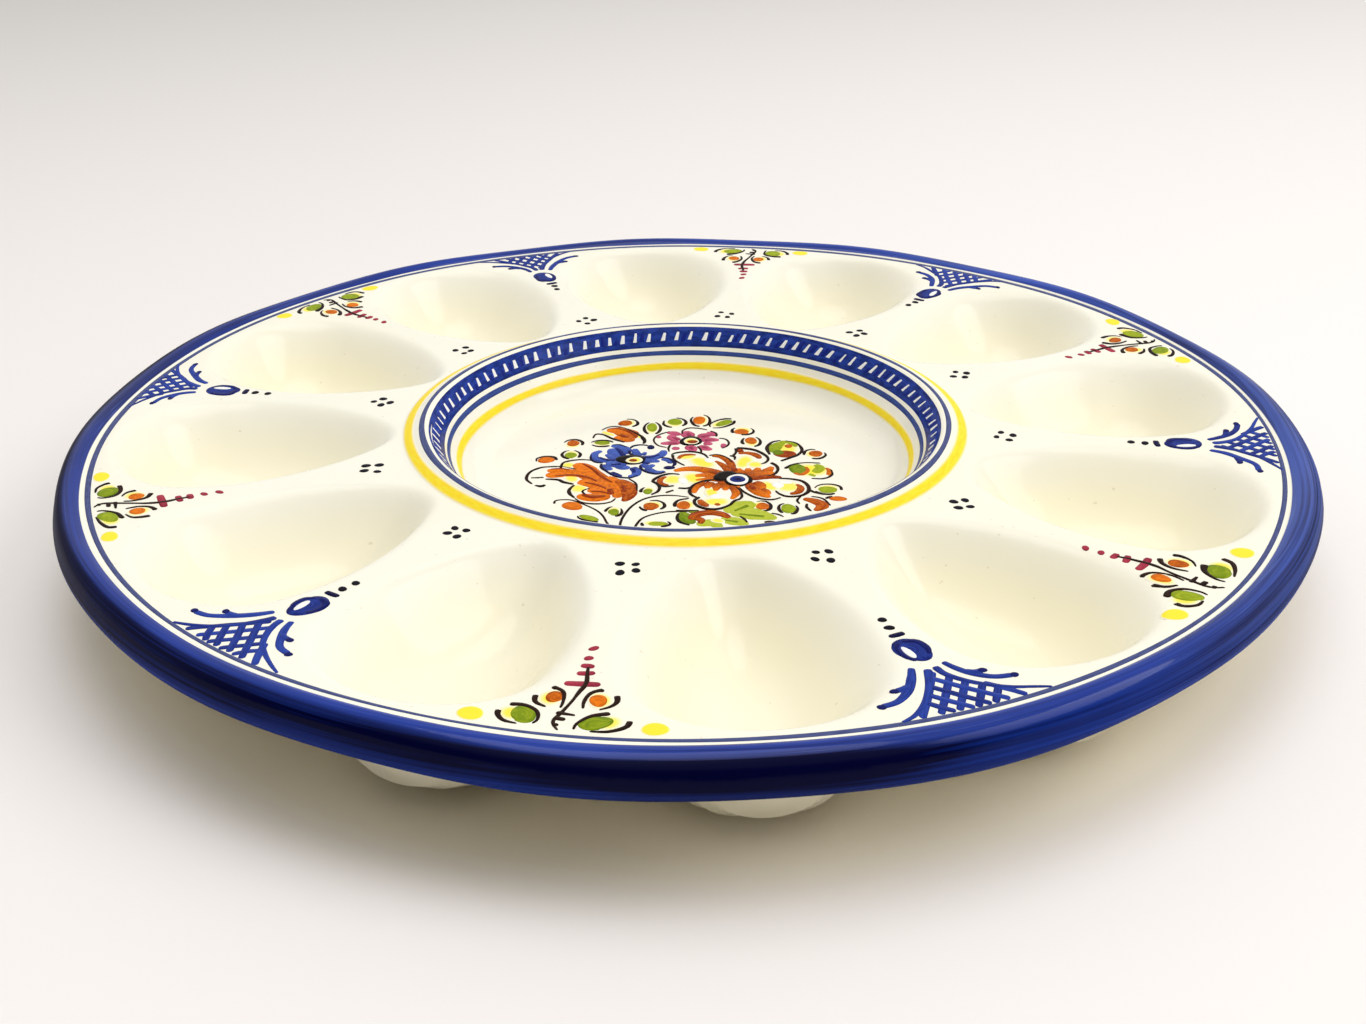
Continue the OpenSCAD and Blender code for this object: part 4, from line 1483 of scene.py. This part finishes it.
            # These dabs hardly overlap, so that each is laid only half a step higher
            work.marks -= 0.5
        for centre, half, degrees in (
                ((6.6, 3.6), (1.8, 1.3), -48), ((24.8, -12.2), (1.6, 2.2), 20),
                ((-0.6, -9.4), (1.3, 2.2), 10), ((8.4, -19.2), (2.0, 1.6), 0),
                ((27.0, -10.8), (2.0, 1.0), -10)):
            work.dab("white", centre, half, degrees, steps=16)
        work.strokes("orange", (
            (((-2.2, 4.4), (-0.9, 6.8), (1.4, 7.6), (3.2, 7.3)), (1.1, 1.7, 1.6, 0.8)),
            (((7.4, 6.9), (10, 6), (12, 3.5), (12.9, 0.4), (12.8, -3)),
             (0.9, 2.2, 2.5, 2.6, 2.4)),
            (((8, 3.4), (10, 1.2), (11.5, -1.6), (12.2, -4.4)), (0.9, 2.0, 2.8, 3.2)),
            (((-5, -6.4), (-6.7, -8.4), (-6.5, -10.8), (-4.4, -12.2)), (0.8, 2.0, 1.7, 0.9)),
            (((14.8, 8.2), (17.5, 8.7), (20, 7), (20.7, 4.6)), (0.9, 1.8, 2.5, 1.3)),
            (((29.6, -12), (30.9, -14), (29.9, -16.6), (27.4, -18.1)), (0.9, 2.3, 2.3, 1.1)),
            (((3.7, -20.8), (4.5, -23.3), (6.2, -25)), (1.3, 2.5, 1.5)),
            (((7.6, -24.6), (8.9, -23.6)), (1.8, 2.2))), (0.5, 0.75))
        work.strokes("orange", (
            (((-3.4, -3.0), (0, -1.6), (4, -2), (8, -4), (11, -6.4)),
             (1.6, 3.0, 3.6, 4.0, 4.4)),
            (((2.4, -6.4), (6, -6), (10, -7.6)), (1.8, 3.6, 4.4)),
            (((2.6, -9.2), (6.4, -8.4), (10, -9)), (1.0, 2.4, 3.4)),
            (((14.4, -1.4), (15.0, -3.6), (15.8, -6)), (1.4, 3.0, 3.8)),
            (((17.2, -1.4), (17.3, -3.4), (17.4, -6)), (1.2, 2.8, 3.4)),
            (((20.2, -1.2), (19.5, -3.4), (19.0, -6)), (1.2, 3.0, 3.6)),
            (((23.9, -0.4), (22.6, -3), (20.6, -5.6)), (1.2, 3.2, 3.6)),
            (((24.4, -4.6), (20.4, -5.6), (16.4, -6.8)), (2.2, 4.4, 4.4)),
            (((22.4, -20.0), (20.6, -17.8), (18.4, -14), (17.2, -10.8)),
             (1.2, 4.4, 5.0, 4.0)),
            (((20.8, -15.2), (20.4, -12.4), (18.4, -10.6)), (1.4, 3.0, 3.4)),
            (((22.4, -18.2), (21.8, -16.4), (20.2, -14.4)), (1.0, 2.0, 1.6)),
            (((14.4, -14), (12, -11.8), (8.6, -10.4)), (2.6, 4.4, 3.4)),
            (((5.8, -14.6), (6.0, -12.4), (7.0, -10)), (1.0, 2.6, 3.4)),
            (((8.2, -16.2), (8.4, -13.4), (9.2, -11)), (1.0, 2.6, 3.4)),
            (((10.7, -15.6), (10.8, -13.6), (11.6, -11.8)), (1.0, 2.6, 3.2)),
            (((2.2, -17.2), (2.8, -13), (5.4, -10.2)), (1.2, 2.6, 2.8)),
            (((12.2, -21), (13.5, -16.8), (12.6, -12.8)), (1.2, 2.6, 2.6))), (0.0, 0.9))
        work.strokes("orange", (
            (((15.1, 11.3), (15.9, 9)), (1.9, 2.1)),
            (((18, -8.4), (22, -7.1), (26.2, -7.8)), (2.2, 2.8, 1.3)),
            (((13.2, -1), (13.4, -4)), (1.8, 2.2)),
            (((6.2, -3.6), (9.8, -5.6)), (1.0, 1.8)),
            (((17.4, -12.4), (18.6, -15.4)), (1.6, 1.8))), (0.85, 1.0))
        work.strokes("ink", (
            (((-3.9, 7.6), (-2.5, 8.9), (0.5, 9.7), (3.5, 9.2), (5.6, 7.6), (6.4, 5)),
             (0.4, 0.7, 0.8, 0.8, 0.7, 0.4)),
            (((-3.6, 7.6), (-3.1, 4.6), (-1.6, 2.2), (0, 0.5)), (1.0, 0.7, 0.6, 0.35)),
            (((6.6, 7.1), (9.2, 7.5), (11.7, 5.2), (13.2, 1.8)), (0.35, 0.6, 0.6, 0.4)),
            (((14.4, 12), (16.6, 11.8), (19.6, 10.4), (22, 7.8), (23, 5), (22.4, 2.5),
              (20.8, 0.8)), (1.0, 1.2, 1.1, 1.0, 0.9, 0.7, 0.4)),
            (((14.5, 12), (14.3, 9), (13.2, 6.4)), (1.3, 0.7, 0.8)),
            (((12.3, 6.7), (13.8, 6), (13.8, 4)), (0.5, 0.8, 0.4)),
            (((23.6, 2.3), (25, 0), (25.4, -2.6), (24.2, -5.6), (22, -7.2)),
             (0.9, 1.0, 0.9, 0.8, 0.4)),
            (((25.2, -8.2), (28.5, -8.6), (31.5, -10.2), (33, -13.4), (32.5, -16.6),
              (30.3, -19), (27.2, -19.4), (25, -17.9), (23.9, -15.8)),
             (0.4, 0.7, 0.9, 1.1, 1.2, 0.9, 0.8, 0.7, 0.5)),
            (((33, -15.6), (34.6, -17.2), (37, -18.4)), (1.0, 0.6, 0.5)),
            (((14.2, -13.8), (16, -17.2), (19, -20.2), (22.5, -21.2), (25.2, -20)),
             (0.5, 0.7, 0.7, 0.6, 0.35)),
            (((8.6, -8.8), (5, -9.8), (2.3, -12.2), (1, -15.5), (1.5, -18.2), (3.4, -20.2)),
             (0.5, 0.9, 1.0, 1.1, 0.9, 0.5)),
            (((3.8, -19.3), (2.3, -21.5), (2.8, -24.2), (5.5, -26.6), (8.6, -26.6),
              (11.6, -24.6), (12.9, -22), (14.6, -20.8)),
             (0.7, 1.0, 1.0, 1.2, 1.0, 0.9, 1.0, 0.5)),
            (((13.4, -13.4), (14.6, -16), (15, -19), (14, -21.4)), (0.4, 0.6, 0.8, 0.5)),
            (((-1.6, -5.2), (-4.5, -5.1), (-7.3, -6.8), (-8.9, -9.3), (-7.6, -11),
              (-6.8, -13.4), (-7.4, -16.2), (-9.2, -17.9)),
             (0.4, 0.7, 0.9, 1.0, 0.9, 1.0, 0.8, 0.4)),
            (((-7.4, -11.9), (-5.5, -13), (-3, -12.4)), (0.5, 0.6, 0.4)),
            (((-2.2, -13.9), (0.5, -14.1), (2.2, -12.8)), (0.5, 0.7, 0.4)),
            (((-5.4, -16.8), (-3, -15.2)), (0.6, 0.4))))
        work.dab("ink", (14.2, -8.9), (4.1, 4.3), load=0.9, steps=28)
        work.dab("ink", (11, -6.8), (3.8, 3.0), 45, load=0.9)
        work.dab("white", (14.3, -8.9), (3.3, 3.4), steps=28)
        work.dab("brush_blue", (14.3, -8.9), (2.2, 2.3), load=0.6)
        work.dab("navy", (14.2, -8.8), (1.0, 1.1), load=0.4, steps=14)

    def blue_flower(self, work):
        work.strokes("petal_blue", (
            (((-20.9, 14.0), (-18.6, 13.4), (-16.7, 11.5), (-16.4, 8.2)),
             (1.6, 3.2, 3.4, 2.2)),
            (((-20.8, 12.4), (-19.8, 9.5), (-18.4, 7), (-17.0, 5)), (2.4, 4.2, 4.4, 3.8)),
            (((-23.4, 10.9), (-25.2, 9.2), (-25.4, 6.6), (-23.8, 4.6), (-21, 4.1),
              (-17.6, 4.6)), (1.4, 2.4, 2.4, 2.4, 3.4, 4.0)),
            (((-22, 8.6), (-20.4, 6), (-18.4, 4.8)), (1.4, 2.2, 2.6)),
            (((-14.2, 12.2), (-13.6, 9), (-12.4, 6.8)), (1.6, 2.6, 3.2)),
            (((-5.9, 11), (-6.4, 8.6), (-8, 6.6), (-10.2, 5.6), (-12.6, 6)),
             (1.8, 2.8, 3.2, 3.6, 3.0)),
            (((-11.0, 9.6), (-12, 7.4)), (1.0, 2.0)),
            (((-7.0, 3.2), (-9.5, 3.8), (-12, 3.6)), (1.4, 2.8, 2.8)),
            (((-8.6, 1.4), (-10.2, 0), (-12.4, 1.4)), (1.2, 2.8, 2.8)),
            (((-5.4, -3.0), (-7.2, -3.8), (-9.2, -3), (-10.8, -0.6)),
             (1.0, 2.0, 2.6, 2.2)),
            (((-6.8, 4.8), (-4.8, 4), (-3.9, 1.8)), (1.2, 2.0, 1.6)),
            (((-15.6, -6.4), (-13.7, -5.4), (-13.4, -3), (-14.6, -0.2)),
             (1.2, 2.6, 3.0, 2.6)),
            (((-15.2, -0.6), (-17.2, -0.6), (-19, 0.8)), (2.2, 3.2, 3.4)),
            (((-20, -2.0), (-21.7, -0.5), (-21.8, 1.8)), (1.6, 3.0, 2.6)),
            (((-22.0, 2.6), (-19, 2), (-16, 1.6)), (3.6, 5.0, 4.4))), (0.1, 0.6))
        work.strokes("brush_blue", (
            (((-17.2, -6.4), (-19.1, -5.1), (-20.4, -3.4)), (1.4, 2.2, 1.4)),
            (((-19.6, 12.6), (-18.2, 9.8), (-17.2, 6.8)), (1.0, 1.6, 1.6)),
            (((-24.4, 6.4), (-22, 4.6), (-19, 4.2)), (0.9, 1.3, 1.6)),
            (((-7, 8), (-9.4, 6.2), (-12, 6)), (0.9, 1.4, 1.4)),
            (((-9.6, 2.2), (-12, 2.6)), (0.8, 1.6)),
            (((-13.8, -4.2), (-14.4, -1)), (0.9, 1.6)),
            (((-20.8, 1), (-17.4, 1.6)), (1.0, 1.8))), (0.7, 1.0))
        work.dab("navy", (-9.6, 13), (1.1, 1.4))
        work.dab("navy", (-4.4, -0.9), (1.6, 1.1))
        work.strokes("navy", (
            (((-20.8, 14.5), (-18.6, 14.8), (-16.4, 12.8)), (0.4, 0.7, 0.4)),
            (((-15.5, 12.4), (-14.6, 13.9), (-12.4, 14.7), (-10.2, 14.1)),
             (0.6, 0.9, 0.6, 0.5)),
            (((-15.6, 11), (-15.4, 9), (-14, 6.8)), (0.8, 0.9, 0.5)),
            (((-26.3, 8), (-26.3, 5.4), (-24.8, 3.1), (-22.8, 2.6)), (0.5, 0.8, 0.8, 0.5)),
            (((-23.1, 2.2), (-23.1, -0.5), (-21.6, -3.2), (-19.6, -5.6)),
             (0.7, 1.0, 0.8, 1.0)),
            (((-6.9, 5.7), (-4.8, 5.1), (-3.3, 3.4), (-2.8, 1.6), (-3.4, 0)),
             (0.4, 0.7, 0.9, 1.2, 0.6)),
            (((-12.4, 0.8), (-12, -1.6), (-10.2, -3.8), (-7.6, -4.7), (-5.2, -3.6)),
             (0.7, 1.0, 1.0, 0.9, 0.5)),
            (((-19.8, -5.5), (-17.6, -6.9), (-14.8, -7.1), (-12.8, -5.4)),
             (0.9, 0.8, 0.6, 0.4))), 0.5)
        work.dab("ink", (-15.0, 4.5), (4.3, 3.4), load=0.9)
        work.dab("petal_yellow", (-14.2, 4.1), (2.5, 2.3), load=0.9)
        work.dab("orange", (-14.5, 4.0), (1.3, 1.0), load=0.9, steps=14)

    def rose_flower(self, work):
        work.strokes("rose", (
            (((0.2, 24.4), (0.9, 22), (1.3, 19.4)), (2.4, 4.4, 3.8)),
            (((8.2, 21.4), (6, 21.2), (3.6, 19.6)), (2.2, 3.8, 3.2)),
            (((6.2, 23.2), (7.8, 22.6), (8.4, 20.4)), (1.2, 2.0, 1.8)),
            (((9.9, 17.6), (7, 18), (4.2, 17.6)), (1.6, 3.6, 3.2)),
            (((7.8, 15.0), (5.0, 15.6)), (2.0, 3.2)),
            (((10.5, 15.4), (11.1, 13.8), (10.4, 12.2)), (1.2, 2.2, 1.2)),
            (((7.7, 11.0), (6, 12), (3.8, 14)), (1.6, 3.6, 2.8)),
            (((2.7, 9.8), (2, 11.8), (0.8, 14)), (1.6, 3.8, 3.2)),
            (((-2.8, 10.8), (-2.4, 13.2)), (2.2, 2.6)),
            (((-7.0, 15.4), (-3, 16), (-1.2, 15.4)), (1.4, 3.0, 3.0)),
            (((-3.6, 21.8), (-3.6, 19.2), (-1.2, 17.8)), (2.2, 3.4, 3.4)),
            (((-5.2, 23), (-3.2, 23), (-1.6, 21.2)), (1.8, 2.8, 2.4)),
            (((-8.2, 21), (-7.2, 19.4)), (1.6, 1.8))), (0.0, 0.5))
        work.strokes("rose", (
            (((0.6, 23.4), (1.4, 20.2)), (1.0, 1.8)),
            (((7.4, 21.4), (4.4, 20)), (1.0, 1.6)),
            (((8.6, 17.8), (5.4, 17.6)), (0.8, 1.4)),
            (((6.6, 11.6), (4.8, 13.2)), (0.9, 1.4)),
            (((2.2, 10.8), (1.4, 13.2)), (0.9, 1.6)),
            (((-5, 15.6), (-2, 15.4)), (0.8, 1.4)),
            (((-3.6, 20.2), (-1.6, 18)), (1.0, 1.6))), (0.7, 1.0))
        work.strokes("ink", (
            (((-4.2, 23.9), (-7, 22.1), (-8.7, 19.4), (-8.8, 16.6), (-7.4, 13.9), (-5, 12.6)),
             (0.35, 0.6, 0.6, 0.6, 0.6, 0.35)),
            (((-0.8, 21.8), (-0.6, 24.6), (1.2, 26.4), (3.8, 26.3), (6.6, 24.9)),
             (0.5, 0.6, 0.6, 0.6, 0.4)),
            (((7.2, 24.3), (8.9, 22.4), (8.9, 20)), (0.5, 0.8, 0.6)),
            (((9.4, 19.2), (11.5, 18.3), (12.5, 16), (12.1, 13.6), (10.4, 11.8)),
             (0.4, 0.6, 0.7, 0.6, 0.4)),
            (((-3.9, 15), (-4.7, 12.4), (-4.4, 9.8)), (0.6, 0.8, 0.4)),
            (((3.5, 13.7), (4.4, 11.2), (4.7, 9)), (0.5, 0.7, 0.6))), 0.2)
        work.dab("ink", (1.5, 17.1), (3.4, 3.4), load=0.9)
        work.dab("petal_yellow", (1.9, 17.0), (2.4, 2.3), load=0.9)
        work.dab("orange", (2.1, 16.5), (1.6, 1.3), load=0.9, steps=14)


# Stage

class PLATTER_OT_stage(bpy.types.Operator):
    """Lay the pale floor, hang the lamps and set the camera"""

    bl_idname = "platter.stage"
    bl_label = "Floor, Lamps and Camera"

    # Places of the lamps, which shine at the plate, and their diameters
    KEY_LAMP = ((1.3, -0.1, 1.2), 1.1)
    TOP_LAMP = ((0.0, 0.15, 1.6), 1.2)

    # The camera as solved from the plate's painted circles
    CAMERA_PLACE = (0.059134, -0.386528, 0.195743)
    CAMERA_TURN = (63.5107, 0.3225, 8.6393)

    def execute(self, context):
        stage = settings("stage")
        self.floor()
        self.world()
        self.lamp("key_lamp", *self.KEY_LAMP, stage.key)
        self.lamp("top_lamp", *self.TOP_LAMP, stage.top)
        self.camera()
        return {"FINISHED"}

    def floor(self):
        """A pale floor, painted greyer far off and to the left as painted shade, and painted
        warm under the plate: a painted shadow at its left and painted light at its right.
        """
        stage = settings("stage")
        bpy.ops.object.select_all(action="DESELECT")
        bpy.ops.mesh.primitive_circle_add(
            vertices=96, radius=6, fill_type="TRIFAN", location=(0, 0, 0))
        floor = bpy.context.object
        floor.name = "floor"
        shade = new_glaze("floor_paper")
        x, y, _, radius = shade.parts(shade.object_place())
        # Painted shade: greyer towards the back and the left, where the lamps light the floor
        # less
        away = shade.minus(shade.times(y, 0.5), shade.times(x, 0.6))
        base = shade.mix(shade.spread(away, -0.1, 1.0), stage.floor, stage.floor_far_painted_shade)
        # Painted shadow under the plate: warm and darker at the left, and painted light that
        # lifts it at the right
        under = shade.spread(radius, 171 * MM, 148 * MM, 0.0, 0.9)
        to_right = shade.spread(x, -30 * MM, 50 * MM)
        painted_shadow_tint = shade.mix(to_right, stage.painted_shadow_left, stage.painted_light_right)
        shade.finish({"Base Color": shade.mix(under, base, painted_shadow_tint), "Roughness": 0.6})
        floor.data.materials.append(shade.owner)

    def world(self):
        """Bright overhead and dim near the horizon in front, as a room is."""
        world = bpy.data.worlds.new("room")
        bpy.context.scene.world = world
        shade = Shade(world)
        _, y, z = shade.node(
            "SeparateXYZ", {0: shade.node("TexCoord").outputs["Generated"]}).outputs
        dimmed = shade.times(shade.spread(y, 0.05, -0.55), shade.spread(z, 0.75, 0.35))
        light = shade.minus(1.0, shade.times(dimmed, 0.85))
        room = shade.node("Background", {
            "Color": shade.mix(light, (0, 0, 0), (1.0, 0.985, 0.965)),
            "Strength": settings("stage").room})
        seen = shade.node("Background", {"Color": (0.86, 0.85, 0.84, 1), "Strength": 1.0})
        camera_ray = shade.node("LightPath").outputs["Is Camera Ray"]
        both = shade.node("MixShader", {
            0: camera_ray, 1: room.outputs[0], 2: seen.outputs[0]})
        shade.node("OutputWorld", {"Surface": both.outputs[0]})

    def lamp(self, name, place, size, power):
        """A round lamp that shines at the plate's middle."""
        light = bpy.data.lights.new(name, "AREA")
        light.shape = "DISK"
        light.size = size
        light.energy = power
        lamp = new_object(name, light)
        lamp.location = place
        lamp.rotation_euler = lamp.location.to_track_quat("Z", "Y").to_euler()

    def camera(self):
        data = bpy.data.cameras.new("camera")
        data.lens = settings("stage").lens
        data.sensor_width = 36
        data.clip_start = 0.01
        camera = new_object("camera", data)
        camera.location = self.CAMERA_PLACE
        camera.rotation_euler = [math.radians(a) for a in self.CAMERA_TURN]
        bpy.context.scene.camera = camera


class PLATTER_PT_panel(bpy.types.Panel):
    """Lists the pieces of the platter and their settings"""

    bl_idname = "PLATTER_PT_panel"
    bl_label = "Egg Platter"
    bl_space_type = "VIEW_3D"
    bl_region_type = "UI"
    bl_category = "Platter"

    def draw(self, context):
        for operator in OPERATORS:
            self.layout.operator(operator.bl_idname)
        for name in GROUPS:
            box = self.layout.box()
            for key in GROUPS[name].__annotations__:
                box.prop(settings(name), key)


GROUPS = {"form": PLATTER_PG_form, "glazes": PLATTER_PG_glazes,
          "painting": PLATTER_PG_painting, "stage": PLATTER_PG_stage}
OPERATORS = (PLATTER_OT_body, PLATTER_OT_rim, PLATTER_OT_foot, PLATTER_OT_bands,
             PLATTER_OT_ticks, PLATTER_OT_dots, PLATTER_OT_lattices, PLATTER_OT_sprigs,
             PLATTER_OT_bouquet, PLATTER_OT_stage)


def register():
    for item in (*GROUPS.values(), *OPERATORS, PLATTER_PT_panel):
        bpy.utils.register_class(item)
    for name, group in GROUPS.items():
        setattr(bpy.types.Scene, "platter_" + name, bpy.props.PointerProperty(type=group))


def unregister():
    for name in GROUPS:
        delattr(bpy.types.Scene, "platter_" + name)
    for item in reversed((*GROUPS.values(), *OPERATORS, PLATTER_PT_panel)):
        bpy.utils.unregister_class(item)


def main():
    register()
    bpy.context.scene.view_settings.view_transform = "Standard"
    for operator in OPERATORS:
        group, name = operator.bl_idname.split(".")
        getattr(getattr(bpy.ops, group), name)()


if __name__ == "__main__":
    main()
